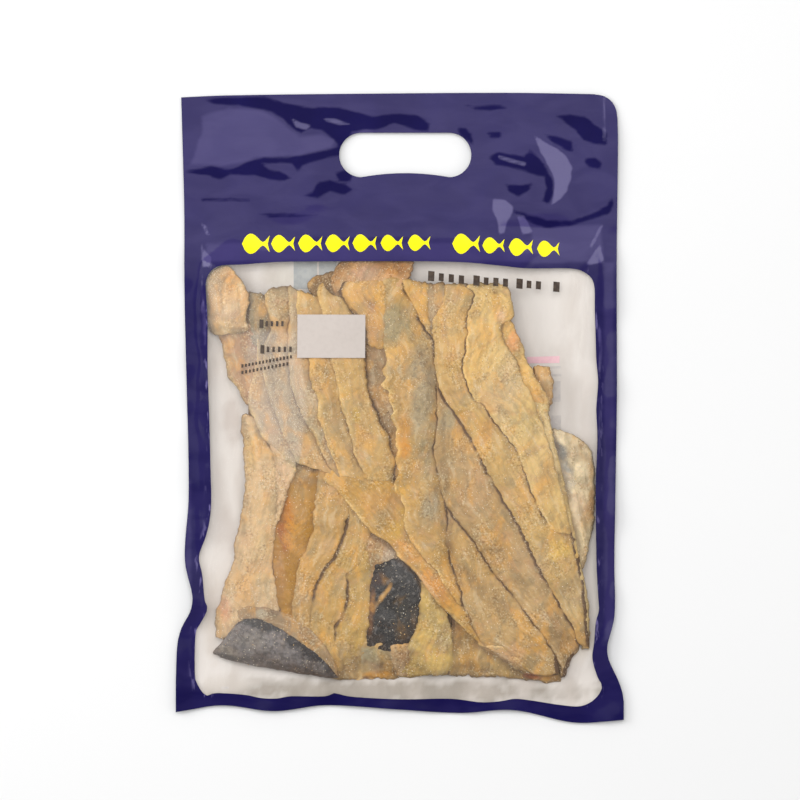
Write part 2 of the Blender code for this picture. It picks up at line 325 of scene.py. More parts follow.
class PouchForm:
    """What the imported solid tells: its outline, and its front and back heights."""

    BLUR = 4.0 * MM
    CORNER_RADIUS = 11.5 * MM
    MEASURED_CORNER = 18.0 * MM
    EDGE_STEP = 2.0 * MM
    CORNER_REACH = 13.0 * MM
    END_REACH = 6.0 * MM
    OUTSIDE = 10.0 * MM
    HEADER_INSET = 14.0 * MM
    FOOT_SHARE = 0.93
    RUN_ON = 20.0 * MM
    HALVINGS = 18
    STRIDE = 2
    GROWTH = 30
    NET_PASSES = 6

    def __init__(self, node: bpy.types.Object) -> None:
        """Reads the node's mesh.

        Args:
            node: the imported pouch.
        """
        mesh = node.data
        points = [node.matrix_world @ v.co for v in mesh.vertices]
        self.tree = BVHTree.FromPolygons(points, [tuple(p.vertices) for p in mesh.polygons])
        low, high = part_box(NODE)
        self.low, self.high = Vector(low), Vector(high)
        self._find_edges()
        self._find_heights()

    def _hit(self, x: float, y: float, way: int) -> float | None:
        """Returns the height of the first face from above (-1) or below (1), or None."""
        place = self.tree.ray_cast(Vector((x, y, -way)), Vector((0, 0, way)))[0]
        return None if place is None else place.z

    def _bisect(self, inner: tuple[float, float], outer: tuple[float, float]) -> np.ndarray:
        """Returns the place between two points where the pouch ends.

        Args:
            inner: a point on the pouch.
            outer: a point past its edge.

        Returns:
            The last place on the pouch.
        """
        a, b = np.array(inner), np.array(outer)
        for _ in range(self.HALVINGS):
            middle = (a + b) / 2
            a, b = (a, middle) if self._hit(middle[0], middle[1], -1) is None else (middle, b)
        return a

    def _find_edges(self) -> None:
        """Finds the four edges, which end straight at the rounded corner."""
        low, high, cut, out = self.low, self.high, self.MEASURED_CORNER, self.OUTSIDE
        ys = np.arange(low.y + self.CORNER_REACH, high.y - self.END_REACH, self.EDGE_STEP)
        xs = np.arange(low.x + self.CORNER_REACH, high.x - self.END_REACH, self.EDGE_STEP)
        left = [self._bisect((low.x / 2, y), (low.x - out, y))[0] for y in ys]
        right = [self._bisect((high.x / 2, y), (high.x + out, y))[0] for y in ys]
        bottom = [self._bisect((x, low.y * self.FOOT_SHARE), (x, low.y - out))[1] for x in xs]
        top = [self._bisect((x, high.y - self.HEADER_INSET), (x, high.y + out))[1] for x in xs]
        keep_y, keep_x = ys < high.y - cut, xs < high.x - cut
        short = xs < high.x - self.CORNER_REACH
        self.left = self._edge(ys, np.array(left))
        self.right = self._edge(ys[keep_y], np.array(right)[keep_y])
        self.bottom = self._edge(xs[short], np.array(bottom)[short])
        self.top = self._edge(xs[keep_x], np.array(top)[keep_x])

    @classmethod
    def _edge(cls, places: np.ndarray, values: np.ndarray) -> tuple[np.ndarray, np.ndarray]:
        """Smooths the small corners out of an edge and runs it straight on at both ends.

        Args:
            places: where the edge was measured.
            values: how far out it lies there.

        Returns:
            The places and values of the longer edge.
        """
        for _ in range(2):
            values = np.concatenate(([values[0]], (values[:-2] + 2 * values[1:-1] + values[2:]) / 4, [values[-1]]))
        first = values[0] - (values[3] - values[0]) / (places[3] - places[0]) * cls.RUN_ON
        last = values[-1] + (values[-1] - values[-4]) / (places[-1] - places[-4]) * cls.RUN_ON
        places = np.concatenate(([places[0] - cls.RUN_ON], places, [places[-1] + cls.RUN_ON]))
        return places, np.concatenate(([first], values, [last]))

    def _find_heights(self) -> None:
        """Reads front and back on a net and smooths the flat faces out of them."""
        front = Field(self.low, self.high)
        back = front.copy(front.values.copy())
        xs, ys = front.places()
        seen = np.zeros(front.shape, dtype=bool)
        step = self.STRIDE
        for i in range(0, front.shape[0], step):
            for j in range(0, front.shape[1], step):
                top = self._hit(xs[i, j], ys[i, j], -1)
                if top is not None:
                    block = (slice(i, i + step), slice(j, j + step))
                    front.values[block], seen[block] = top, True
                    back.values[block] = self._hit(xs[i, j], ys[i, j], 1)
        for grid in (front, back):
            known, values = seen.copy(), grid.values
            for _ in range(self.GROWTH):
                grown, count = np.zeros_like(values), np.zeros_like(values)
                for axis, way in ((0, 1), (0, -1), (1, 1), (1, -1)):
                    moved = np.roll(known, way, axis)
                    grown += np.where(moved, np.roll(values, way, axis), 0)
                    count += moved
                fresh = ~known & (count > 0)
                values[fresh] = grown[fresh] / count[fresh]
                known |= fresh
        self.front, self.back = front.blurred(self.BLUR), back.blurred(self.BLUR)

    def net(self, columns: int, rows: int) -> np.ndarray:
        """Lays a net of points over the outline.

        Args:
            columns: cells across.
            rows: cells along.

        Returns:
            Points (x, y) in an array of rows + 1 by columns + 1.
        """
        v, u = np.meshgrid(np.linspace(0, 1, rows + 1), np.linspace(0, 1, columns + 1), indexing="ij")
        x = self.low.x + (self.high.x - self.low.x) * u
        y = self.low.y + (self.high.y - self.low.y) * v
        for _ in range(self.NET_PASSES):
            y = (1 - v) * np.interp(x, *self.bottom) + v * np.interp(x, *self.top)
            x = (1 - u) * np.interp(y, *self.left) + u * np.interp(y, *self.right)
        x, y = np.clip(x, self.low.x, self.high.x), np.clip(y, self.low.y, self.high.y)
        radius = self.CORNER_RADIUS
        corner = np.array((x[-1, -1], y[-1, -1])) - radius
        a, b = (x - corner[0]) / radius, (y - corner[1]) / radius
        turned = (a > 0) & (b > 0)
        a, b = np.clip(a, 0, 1), np.clip(b, 0, 1)
        x = np.where(turned, corner[0] + radius * a * np.sqrt(1 - b * b / 2), x)
        y = np.where(turned, corner[1] + radius * b * np.sqrt(1 - a * a / 2), y)
        return np.stack((x, y), axis=-1)


class SolidBuilder:
    """Makes closed meshes from a net of points with a front and a back."""

    KINDS = {"tint": ("FLOAT_COLOR", "color"), "grain": ("FLOAT_VECTOR", "vector")}
    ON_CUT = 1e-7

    @staticmethod
    def shell(
        name: str, net: np.ndarray, front: np.ndarray, back: np.ndarray, hole: np.ndarray | None = None
    ) -> tuple[bpy.types.Object, np.ndarray]:
        """Joins a front and a back over one net into a closed piece.

        Args:
            name: the piece's name.
            net: points (x, y) in rows and columns.
            front: the heights of the front.
            back: the heights of the back.
            hole: how far each point lies outside what is cut away, 0 on its edge.

        Returns:
            The piece, and for each of its points the index in the net.
        """
        rows, columns = net.shape[:2]
        index = np.arange(rows * columns).reshape(rows, columns)
        quads = np.stack((index[:-1, :-1], index[:-1, 1:], index[1:, 1:], index[1:, :-1]), -1).reshape(-1, 4)
        side = np.ones(quads.shape) if hole is None else hole.reshape(-1)[quads]
        whole = (side >= 0).all(axis=1) & (side > 0).any(axis=1)
        mixed = (side > 0).any(axis=1) & (side < 0).any(axis=1)
        faces = [tuple(q) for q in quads[whole].tolist()]
        for quad, values in zip(quads[mixed].tolist(), side[mixed]):
            kept = tuple(p for p, value in zip(quad, values) if value >= 0)
            if len(kept) > 2:
                faces.append(kept)
        used = np.unique(np.array([p for f in faces for p in f]))
        renumber = np.full(rows * columns, -1)
        renumber[used] = np.arange(len(used))
        flat = net.reshape(-1, 2)[used]
        points = np.vstack([np.column_stack((flat, heights.reshape(-1)[used])) for heights in (front, back)])
        under = len(used)
        tops = [tuple(int(renumber[p]) for p in f) for f in faces]
        backs = [tuple(p + under for p in reversed(f)) for f in tops]
        edges = {(f[k - 1], f[k]) for f in tops for k in range(len(f))}
        walls = [(b, a, a + under, b + under) for a, b in edges if (b, a) not in edges]
        mesh = bpy.data.meshes.new(name)
        mesh.from_pydata(points.tolist(), [], tops + backs + sorted(walls))
        mesh.shade_smooth()
        piece = linked(name, mesh)
        piece["front_faces"] = len(tops)
        return piece, np.concatenate((used, used))

    @classmethod
    def store(cls, piece: bpy.types.Object, layers: dict[str, np.ndarray]) -> None:
        """Keeps numbers, a colour or a vector at each point of a piece.

        Args:
            piece: the piece.
            layers: one value for each point, by the attribute's name.
        """
        for name, values in layers.items():
            kind, part = cls.KINDS.get(name, ("FLOAT", "value"))
            if kind == "FLOAT_COLOR":
                values = np.column_stack((values, np.ones(len(values))))
            layer = piece.data.attributes.new(name, kind, "POINT")
            layer.data.foreach_set(part, values.astype(np.float32).reshape(-1))

    @staticmethod
    def mark(name: str, outline: np.ndarray, thickness: float, cell: float) -> bpy.types.Object:
        """Makes a thin flat piece with an outline, cut into cells so that it can be draped.

        Args:
            name: the piece's name.
            outline: its corners in order.
            thickness: how thick it is.
            cell: the largest cell.

        Returns:
            The piece, lying on z = 0.
        """
        work = bmesh.new()
        work.faces.new([work.verts.new((x, y, 0)) for x, y in outline])
        for axis in (0, 1):
            start, end = outline[:, axis].min(), outline[:, axis].max()
            for n in range(1, max(1, math.ceil((end - start) / cell))):
                place, normal = Vector(), Vector()
                place[axis] = start + n * cell
                normal[axis] = 1
                parts = work.verts[:] + work.edges[:] + work.faces[:]
                bmesh.ops.bisect_plane(work, geom=parts, plane_co=place, plane_no=normal, dist=SolidBuilder.ON_CUT)
        made = bmesh.ops.extrude_face_region(work, geom=work.faces[:])["geom"]
        tops = [part for part in made if isinstance(part, bmesh.types.BMVert)]
        bmesh.ops.translate(work, verts=tops, vec=(0, 0, thickness))
        bmesh.ops.recalc_face_normals(work, faces=work.faces[:])
        # bmesh leaves its parts in an order that changes from run to run
        places = sorted(tuple(vertex.co) for vertex in work.verts)
        number = {place: n for n, place in enumerate(places)}
        loops = [[number[tuple(vertex.co)] for vertex in face.verts] for face in work.faces]
        starts = [loop.index(min(loop)) for loop in loops]
        work.free()
        mesh = bpy.data.meshes.new(name)
        mesh.from_pydata(places, [], sorted(loop[n:] + loop[:n] for loop, n in zip(loops, starts)))
        return linked(name, mesh)


# ---------------------------------------------------------------------------------- nodes
def socket_of(sockets: Any, key: int | str) -> bpy.types.NodeSocket:
    """Returns a socket by its number, or the one in use with that name, or the first in use for ""."""
    if isinstance(key, int):
        return sockets[key]
    return next(s for s in sockets if s.enabled and (not key or s.name == key))


def add_node(
    tree: bpy.types.NodeTree, kind: str, settings: dict[str, Any], sockets: dict[Any, Any], output: str = ""
) -> bpy.types.NodeSocket:
    """Adds a node to a tree.

    Args:
        tree: the tree.
        kind: the node's type.
        settings: the node's own settings, set first.
        sockets: a value or a socket for each input.
        output: the output that is wanted, the first one in use if left out.

    Returns:
        The output.
    """
    made = tree.nodes.new(kind)
    for name, value in settings.items():
        setattr(made, name, value)
    for key, value in sockets.items():
        place = socket_of(made.inputs, key)
        if isinstance(value, bpy.types.NodeSocket):
            tree.links.new(value, place)
        else:
            place.default_value = value
    return socket_of(made.outputs, output)


class Term:
    """A node's output that sums and products can be written with."""

    def __init__(self, shader: "Shader", socket: bpy.types.NodeSocket) -> None:
        """Keeps the output and the shader that it belongs to."""
        self.shader, self.socket = shader, socket

    def _math(self, operation: str, a: Any, b: Any) -> "Term":
        """Returns the term for one Math node."""
        return self.shader.node("ShaderNodeMath", {"operation": operation}, {0: a, 1: b})

    def __add__(self, other: Any) -> "Term":
        """Returns self + other."""
        return self._math("ADD", self, other)

    def __radd__(self, other: Any) -> "Term":
        """Returns other + self."""
        return self._math("ADD", other, self)

    def __sub__(self, other: Any) -> "Term":
        """Returns self - other."""
        return self._math("SUBTRACT", self, other)

    def __rsub__(self, other: Any) -> "Term":
        """Returns other - self."""
        return self._math("SUBTRACT", other, self)

    def __mul__(self, other: Any) -> "Term":
        """Returns self * other."""
        return self._math("MULTIPLY", self, other)

    def __rmul__(self, other: Any) -> "Term":
        """Returns other * self."""
        return self._math("MULTIPLY", other, self)

    def between(self, low: float, high: float) -> "Term":
        """Returns 0 below low, 1 above high and a soft step between."""
        settings = {"interpolation_type": "SMOOTHSTEP"}
        return self.shader.node("ShaderNodeMapRange", settings, {"Value": self, "From Min": low, "From Max": high})


class Shader:
    """A material that is written as expressions."""

    def __init__(self, name: str) -> None:
        """Makes an empty material of that name.

        Args:
            name: the material's name.
        """
        self.material = bpy.data.materials.new(name)
        self.material.use_nodes = True
        self.tree = self.material.node_tree
        self.tree.nodes.clear()

    def node(self, kind: str, settings: dict[str, Any], sockets: dict[Any, Any], output: str = "") -> Term:
        """Adds a node as add_node does, with terms for its inputs, and returns its output as a term."""
        given = {key: value.socket if isinstance(value, Term) else value for key, value in sockets.items()}
        return Term(self, add_node(self.tree, kind, settings, given, output))

    def places(self, stretch: tuple[float, float, float] = (1, 1, 1), turn: float = 0.0) -> Term:
        """Returns the piece's own coordinates, stretched and turned about Z."""
        coordinates = self.node("ShaderNodeTexCoord", {}, {}, "Object")
        sockets = {"Vector": coordinates, "Scale": stretch, "Rotation": (0, 0, turn)}
        return self.node("ShaderNodeMapping", {"vector_type": "POINT"}, sockets)

    def noise(self, where: Term, size: float, detail: float = 2.0, bend: float = 0.0) -> Term:
        """Returns a noise from 0 to 1 whose rises are a size apart."""
        sockets = {"Vector": where, "Scale": 1 / size, "Detail": detail, "Distortion": bend}
        return self.node("ShaderNodeTexNoise", {}, sockets)

    def cells(self, where: Term, size: float) -> Term:
        """Returns the distances in a cell pattern whose cells are a size wide."""
        return self.node("ShaderNodeTexVoronoi", {}, {"Vector": where, "Scale": 1 / size}, "Distance")

    def value(self, name: str) -> Term:
        """Returns a number that the piece keeps at its points."""
        return self.node("ShaderNodeAttribute", {"attribute_name": name}, {}, "Fac")

    def tint(self, name: str) -> Term:
        """Returns a colour that the piece keeps at its points."""
        return self.node("ShaderNodeAttribute", {"attribute_name": name}, {}, "Color")

    def mix(self, share: Any, a: Any, b: Any) -> Term:
        """Returns a mix of two colours.

        Args:
            share: 0 for the first, 1 for the second.
            a: the first colour.
            b: the second colour.

        Returns:
            The mixed colour.
        """
        pair = [value if isinstance(value, Term) else (*value, 1) for value in (a, b)]
        settings = {"data_type": "RGBA", "clamp_factor": True}
        return self.node("ShaderNodeMix", settings, {"Factor": share, "A": pair[0], "B": pair[1]}, "Result")

    def bump(self, height: Any, depth: float, strength: float = 1.0, onto: Term | None = None) -> Term:
        """Returns a normal with a relief.

        Args:
            height: the relief from 0 to 1.
            depth: how deep it is.
            strength: how much of it shows.
            onto: a normal that it is added to.

        Returns:
            The normal.
        """
        sockets = {"Height": height, "Distance": depth, "Strength": strength}
        if onto is not None:
            sockets["Normal"] = onto
        return self.node("ShaderNodeBump", {}, sockets)

    def principled(self, sockets: dict[str, Any]) -> Term:
        """Returns a surface with these sockets set."""
        return self.node("ShaderNodeBsdfPrincipled", {}, sockets)

    def finish(self, surface: Term) -> bpy.types.Material:
        """Ends the material with its surface."""
        end = self.tree.nodes.new("ShaderNodeOutputMaterial")
        self.tree.links.new(surface.socket, end.inputs["Surface"])
        return self.material


# ---------------------------------------------------------------------------------- finishes
@dataclass(frozen=True)
class PrintedFilm:
    """Glossy film: printed outside its window with painted reflections, clear and slightly milky inside it."""

    ink: Colour = (16, 12, 62)
    ink_light: Colour = (20, 16, 70)
    painted_reflection: Colour = (70, 62, 114)
    scuff: Colour = (120, 112, 160)
    veil: Colour = (236, 230, 226)
    milk: float = 0.015
    gloss: float = 0.09

    def make(self) -> bpy.types.Material:
        """Builds the material."""
        s = Shader("printed_film")
        where = s.places()
        edge = s.value("window")
        clear = edge.between(-0.05, 0.05)
        patchy = s.noise(where, 30 * MM, 3.0, 0.6)
        colour = s.mix(patchy.between(0.35, 0.7), linear(self.ink), linear(self.ink_light))
        # painted glints: pale lilac highlights on the ink beside the window's sides
        edge_glint = s.noise(s.places((2.2, 0.5, 1)), 5 * MM, 3.0).between(0.56, 0.66) * s.value("scuff")
        colour = s.mix(edge_glint, colour, linear(self.scuff))
        crinkle = s.noise(s.places((0.8, 1.5, 1)), 24 * MM, 1.5, 1.4)
        fine = s.noise(s.places((0.7, 1.3, 1)), 5 * MM, 2.0, 0.6)
        normal = s.bump(fine, 0.1 * MM, 0.3, s.bump(crinkle, 1.2 * MM, 0.4))
        wander = s.noise(s.places((0.5, 1, 1)), 7 * MM, 3.0, 0.5) * 2.4 - 1.2
        # painted reflection patches on the ink: where the painted reflection is taken away, where it is raised, and
        # where it is strongest
        dull = (s.value("dull") + wander * 1.3).between(-0.9, 1.0)
        lit = (s.value("lit") + wander).between(-1.2, 1.6)
        bright = (s.value("bright") + wander * 0.8).between(-0.6, 0.9)
        cloud = s.noise(s.places((0.6, 1.4, 1), 0.3), 16 * MM, 3.0, 0.8).between(0.3, 0.7)
        # painted reflection: how far the ink is mixed towards a pale lilac; the same amount also sets the coat's real
        # gloss
        sheen = (s.value("sheen") + cloud * 0.09 + lit * 0.22) * (1 - dull * 0.95) + bright * 0.6
        colour = s.mix(sheen * 1.15, colour, linear(self.painted_reflection))
        rough_ink = s.noise(where, 14 * MM, 2.0) * 0.06 + 0.3
        printed = s.principled(
            {
                "Base Color": colour,
                "Roughness": rough_ink,
                "Specular IOR Level": 0.02,
                "Coat Weight": sheen * 0.42 + bright * 0.2,
                "Coat Roughness": self.gloss,
                "Normal": normal,
            }
        )
        tight = s.bump(s.noise(s.places((1, 0.5, 1)), 9 * MM, 2.0, 0.5), 0.5 * MM, 0.2)
        film = s.principled(
            {"Base Color": (*linear(self.veil), 1), "Roughness": 0.1, "Specular IOR Level": 0.3, "Normal": tight}
        )
        glass = s.node("ShaderNodeBsdfTransparent", {}, {"Color": (0.985, 0.98, 0.97, 1)})
        misty = s.noise(where, 26 * MM, 3.0, 0.4).between(0.4, 0.75) * 0.03 + s.value("veil") + self.milk
        window = s.node("ShaderNodeMixShader", {}, {0: misty, 1: glass, 2: film})
        return s.finish(s.node("ShaderNodeMixShader", {}, {0: clear, 1: printed, 2: window}))


@dataclass(frozen=True)
class BackFilm:
    """The outside of the back: the same ink round a plain pale panel."""

    ink: Colour = (22, 19, 62)
    ink_light: Colour = (30, 26, 76)
    panel: Colour = (226, 222, 218)
    grey: Colour = (205, 201, 198)

    def make(self) -> bpy.types.Material:
        """Builds the material."""
        s = Shader("back_film")
        where = s.places()
        clear = s.value("window").between(-0.05, 0.05)
        ink = s.mix(s.noise(where, 30 * MM, 3.0, 0.6).between(0.35, 0.7), linear(self.ink), linear(self.ink_light))
        pale = s.mix(s.noise(where, 18 * MM, 3.0), linear(self.panel), linear(self.grey))
        wrinkle = s.bump(s.noise(s.places((1, 1.6, 1)), 13 * MM, 3.0, 0.9), 0.9 * MM, 0.4)
        dull = s.noise(where, 14 * MM, 2.0) * 0.1 + 0.2
        colour = s.mix(clear, ink, pale)
        sockets = {"Base Color": colour, "Roughness": dull, "Specular IOR Level": 0.2, "Normal": wrinkle}
        return s.finish(s.principled(sockets))


@dataclass(frozen=True)
class InnerWhite:
    """The white inside of the back film, with soft grey shadows of its folds."""

    shade: Colour = (196, 186, 178)

    def make(self) -> bpy.types.Material:
        """Builds the material."""
        s = Shader("inner_white")
        soft = s.noise(s.places((1.4, 0.6, 1)), 24 * MM, 3.0, 0.5)
        colour = s.mix(soft.between(0.4, 0.75) * 0.55, s.tint("tint"), linear(self.shade))
        wrinkle = s.bump(s.noise(s.places((1.5, 0.5, 1)), 12 * MM, 3.0, 0.6), 1.2 * MM, 0.45)
        dull = s.noise(s.places(), 9 * MM, 2.0) * 0.15 + 0.35
        sockets = {"Base Color": colour, "Roughness": dull, "Specular IOR Level": 0.2, "Normal": wrinkle}
        return s.finish(s.principled(sockets))


@dataclass(frozen=True)
class Ink:
    """A printed mark on the film."""

    name: str
    colour: Colour
    other: Colour
    gloss: float = 0.3

    def make(self) -> bpy.types.Material:
        """Builds the material."""
        s = Shader(self.name)
        where = s.places()
        colour = s.mix(s.noise(where, 2.5 * MM, 3.0).between(0.4, 0.7), linear(self.colour), linear(self.other))
        grain = s.bump(s.noise(where, 0.6 * MM, 2.0), 0.03 * MM, 0.4)
        dull = s.noise(where, 6 * MM, 2.0) * 0.1 + self.gloss
        sockets = {"Base Color": colour, "Roughness": dull, "Specular IOR Level": 0.15, "Normal": grain}
        return s.finish(s.principled(sockets))


@dataclass(frozen=True)
class Patches:
    """Patches of another colour: the noise that places them, the step in it and how much of them shows."""

    colour: Colour
    stretch: tuple[float, float, float]
    turn: float
    size: float
    detail: float
    bend: float
    step: tuple[float, float]
    share: float


@dataclass(frozen=True)
class DriedFlesh:
    """Dry waxy fish flesh and skin, whose colour comes from each fillet's own tint."""

    salt: Colour = (238, 220, 186)
    grey: Colour = (146, 130, 96)
    bright: Colour = (250, 216, 146)
    scale: Colour = (140, 133, 128)
    crack_shade: Colour = (82, 54, 27)
    oily: Patches = Patches((224, 160, 58), (1.3, 0.7, 1), 0.3, 12 * MM, 3.0, 0.7, (0.48, 0.66), 0.45)
    rosy: Patches = Patches((188, 142, 100), (0.8, 1.2, 1), 1.3, 9 * MM, 3.0, 0.5, (0.52, 0.68), 0.36)
    dusky: Patches = Patches((146, 130, 96), (1, 0.8, 1), 2.2, 8 * MM, 4.0, 0.4, (0.52, 0.66), 0.4)
    fibre: float = 1.1 * MM
    streak: float = 3.2 * MM
    band: float = 0.62 * MM

    def make(self) -> bpy.types.Material:
        """Builds the material."""
        s = Shader("dried_flesh")
        where = s.places()
        grain = s.node("ShaderNodeAttribute", {"attribute_name": "grain"}, {}, "Vector")
        tint, skin = s.tint("tint"), s.value("skin")
        flesh = 1 - skin
        long_place = s.node("ShaderNodeMapping", {}, {"Vector": grain, "Scale": (1, 0.2, 0)})
        fibres = s.noise(long_place, self.fibre, 3.0, 0.5)
        streaks = s.noise(long_place, self.streak, 2.0, 0.4)
        along, side = (s.node("ShaderNodeSeparateXYZ", {}, {0: grain}, axis) for axis in "YZ")
        bands = s.node("ShaderNodeMath", {"operation": "SINE"}, {0: (along + side * 0.9) * (1 / self.band)})
        chevron = bands.between(0.2, 1.0) * s.noise(where, 16 * MM, 1.0).between(0.5, 0.62)
        lumps = s.noise(where, 7 * MM, 3.0, 0.5)
        pale = flesh * s.node("ShaderNodeSeparateColor", {}, {0: tint}, "Blue").between(0.004, 0.05)
        crust = s.noise(where, 1.1 * MM, 3.0, 0.3)
        fine = s.noise(where, 0.5 * MM, 2.0)
        crusty = s.noise(s.places((1, 0.7, 1), 0.5), 10 * MM, 3.0, 0.5).between(0.47, 0.6)
        colour = tint
        for patches, amount in ((self.oily, flesh), (self.rosy, pale), (self.dusky, pale)):
            cloud = s.noise(s.places(patches.stretch, patches.turn), patches.size, patches.detail, patches.bend)
            colour = s.mix(cloud.between(*patches.step) * patches.share * amount, colour, linear(patches.colour))
        colour = s.mix((1 - streaks.between(0.35, 0.55)) * 0.26 * pale, colour, linear(self.grey, 0.75))
        colour = s.mix(streaks.between(0.55, 0.7) * 0.25 * pale, colour, linear(self.salt, 0.85))
        colour = s.mix(chevron * 0.16 * flesh, colour, linear(self.grey))
        colour = s.mix((1 - crust.between(0.28, 0.48)) * crusty * 0.5, colour, linear(self.crack_shade, 1.6))
        # painted highlight along the fillets' rims
        flaky = crust.between(0.4, 0.56) * 0.5 + 0.4
        colour = s.mix(s.value("rim") * flaky, colour, linear(self.bright))
        mottle = s.noise(where, 2.4 * MM, 5.0, 0.6)
        colour = s.mix(mottle.between(0.54, 0.64) * skin * 0.3, colour, linear(self.scale))
        colour = s.mix((1 - mottle.between(0.4, 0.5)) * skin * 0.6, colour, linear(self.scale, 0.12))
        # painted shade: cracks, ends, walls and steps beside higher pieces darken towards the dark brown
        colour = s.mix(s.value("depth"), colour, linear(self.crack_shade))
        speck = (1 - s.cells(where, 1.5 * MM).between(0.12, 0.26)) * s.noise(where, 6 * MM, 2.0).between(0.45, 0.6)
        white = crust.between(0.52, 0.68) * crusty * 0.34 * pale + speck * (pale * 0.3 + skin * 0.4 + 0.2)
        colour = s.mix(white * (1 - skin * 0.35), colour, linear(self.salt))
        relief = s.bump(fibres, 0.35 * MM, 0.5, s.bump(lumps, 2.2 * MM, 0.6))
        relief = s.bump(streaks, 0.9 * MM, 0.5, relief)
        relief = s.bump(crust * (crusty * 0.7 + 0.3), 0.6 * MM, 0.7, relief)
        relief = s.bump(fine * (crusty * 0.7 + 0.3), 0.2 * MM, 0.6, relief)
        dull = 0.5 + crusty * 0.16 + fine * 0.12 - skin * 0.1
        return s.finish(
            s.principled(
                {
                    "Base Color": colour,
                    "Roughness": dull,
                    "Specular IOR Level": 0.4,
                    "Subsurface Weight": 0.1,
                    "Subsurface Radius": (0.9, 0.5, 0.2),
                    "Subsurface Scale": 1.8 * MM,
                    "Normal": relief,
                }
            )
        )


@dataclass(frozen=True)
class Crystal:
    """Coarse salt."""

    name: str = "salt_crystal"
    white: Colour = (250, 244, 232)
    warm: Colour = (232, 212, 178)
    gloss: float = 0.25

    def make(self) -> bpy.types.Material:
        """Builds the material."""
        s = Shader(self.name)
        where = s.places()
        colour = s.mix(s.noise(where, 3 * MM, 2.0).between(0.4, 0.65), linear(self.white), linear(self.warm))
        relief = s.bump(s.noise(where, 0.3 * MM, 2.0), 0.05 * MM, 0.6)
        dull = s.noise(where, 1 * MM, 1.0) * 0.3 + self.gloss
        return s.finish(s.principled({"Base Color": colour, "Roughness": dull, "Normal": relief}))


@dataclass(frozen=True)
class PaleFloor:
    """A plain pale table."""

    white: Colour = (232, 232, 232)

    def make(self) -> bpy.types.Material:
        """Builds the material."""
        s = Shader("pale_floor")
        soft = s.noise(s.places(), 0.4, 2.0)
        colour = s.mix(soft, linear(self.white, 0.97), linear(self.white))
        return s.finish(s.principled({"Base Color": colour, "Roughness": 0.9, "Specular IOR Level": 0.1}))


# ---------------------------------------------------------------------------------- the fillets
class Level(Enum):
    """How deep in the pile a fillet lies, in metres below the top layer."""

    TOP = 0.0
    UPPER = 0.7 * MM
    MIDDLE = 1.5 * MM
    LOW = 2.6 * MM
    DEEP = 3.8 * MM


@dataclass(frozen=True)
class Stain:
    """A patch of another colour on one piece, or on all the fish for "", in pixels of the photograph."""

    only: str
    centre: tuple[float, float]
    radii: tuple[float, float]
    turn: float
    colour: Colour
    strength: float
    skin: float = 0.0


@dataclass(frozen=True)
class Fillet:
    """A strip of fish between its two edges, which run from its upper to its lower end, in pixels.

    rim is how much painted highlight brightens each edge, crack how dark the painted shade line along it,
    shade how dark the painted soft shadow beside it, tuck how many millimetres it runs on under its
    neighbour, line how wide the painted shade line is, tilt how many millimetres its left lies above its
    right, and sink how far its lower end goes down.
    """

    name: str
    left: Pixels
    right: Pixels
    colour: Colour
    level: Level = Level.TOP
    skin: float = 0.0
    rim: tuple[float, float] = (0.0, 0.0)
    crack_shade: tuple[float, float] = (0.3, 0.3)
    shade: tuple[float, float] = (0.12, 0.12)
    line: float = 0.5
    tuck: tuple[float, float] = (0.0, 0.0)
    tilt: float = 0.0
    sink: float = 0.0
    shoulder: float = 1.5 * MM
    drop: float = 1.4 * MM
    lift: float = 0.0
    end: float = 2.4 * MM


CRACK_A: Pixels = (
    (441.5, 302), (437, 312), (431.5, 323), (432.3, 338), (434, 352), (434, 364.5), (436.5, 381), (441.5, 395),
    (446.4, 404), (456.4, 416.5), (466.3, 431.4), (474.6, 447), (482.9, 463.7), (489.6, 477), (504.5, 502.7),
    (520.2, 529.8), (534.8, 560), (548, 585.7), (563, 611.4), (570.4, 623),
)
CRACK_B: Pixels = (
    (436.5, 385.8), (435.7, 400), (436.5, 426.4), (433.2, 447), (434, 458), (439.8, 487), (443.9, 502.7),
    (451.4, 513), (466.3, 532.3), (477, 546.4), (491.2, 569.6), (507, 588.7), (521, 607), (534, 623.9),
    (548, 644.6), (553.9, 652.9), (558.8, 665.3),
)
CRACK_C: Pixels = (
    (466, 287), (473, 292.4), (472, 303), (465.5, 316), (466.3, 333.8), (463.8, 356), (461.4, 367), (466.3, 385.8),
    (473, 400), (482, 405.7), (492.9, 420.6), (504.5, 436.4), (514, 446.6), (518.2, 457.4), (527.3, 481.4),
    (534.8, 503), (546.4, 522.9), (554.7, 538.6),
)
CRACK_D: Pixels = (
    (503, 325), (502, 334), (507.8, 348), (516, 360.4), (523.2, 382), (530, 391), (538, 412), (548.5, 442),
    (554.7, 466.5), (558.8, 480), (565, 505), (570, 525), (575, 545), (578, 562),
)
CRACK_E: Pixels = (
    (439.8, 487), (444.8, 504), (447, 521), (445, 540), (448, 553), (454.7, 575), (459.7, 591), (463, 606),
)
CRACK_F: Pixels = (
    (402.8, 288), (405.3, 295), (413.6, 306), (417.7, 315), (416.9, 320), (422.7, 328), (430, 336), (433, 348),
    (434, 364), (436, 381), (436.2, 400), (436.5, 426), (433, 447), (434, 458),
)
LINE_P: Pixels = (
    (262, 345), (263, 365), (263.8, 380), (269.6, 399), (277, 417), (283, 434), (291, 449), (297, 464),
)
LINE_S1: Pixels = (
    (287, 286), (288, 300), (289, 315), (288, 340), (289, 370), (290.4, 384), (296.2, 400.7), (303.6, 419.8),
    (312.7, 433), (321.5, 453.6), (329, 466), (338.9, 477),
)
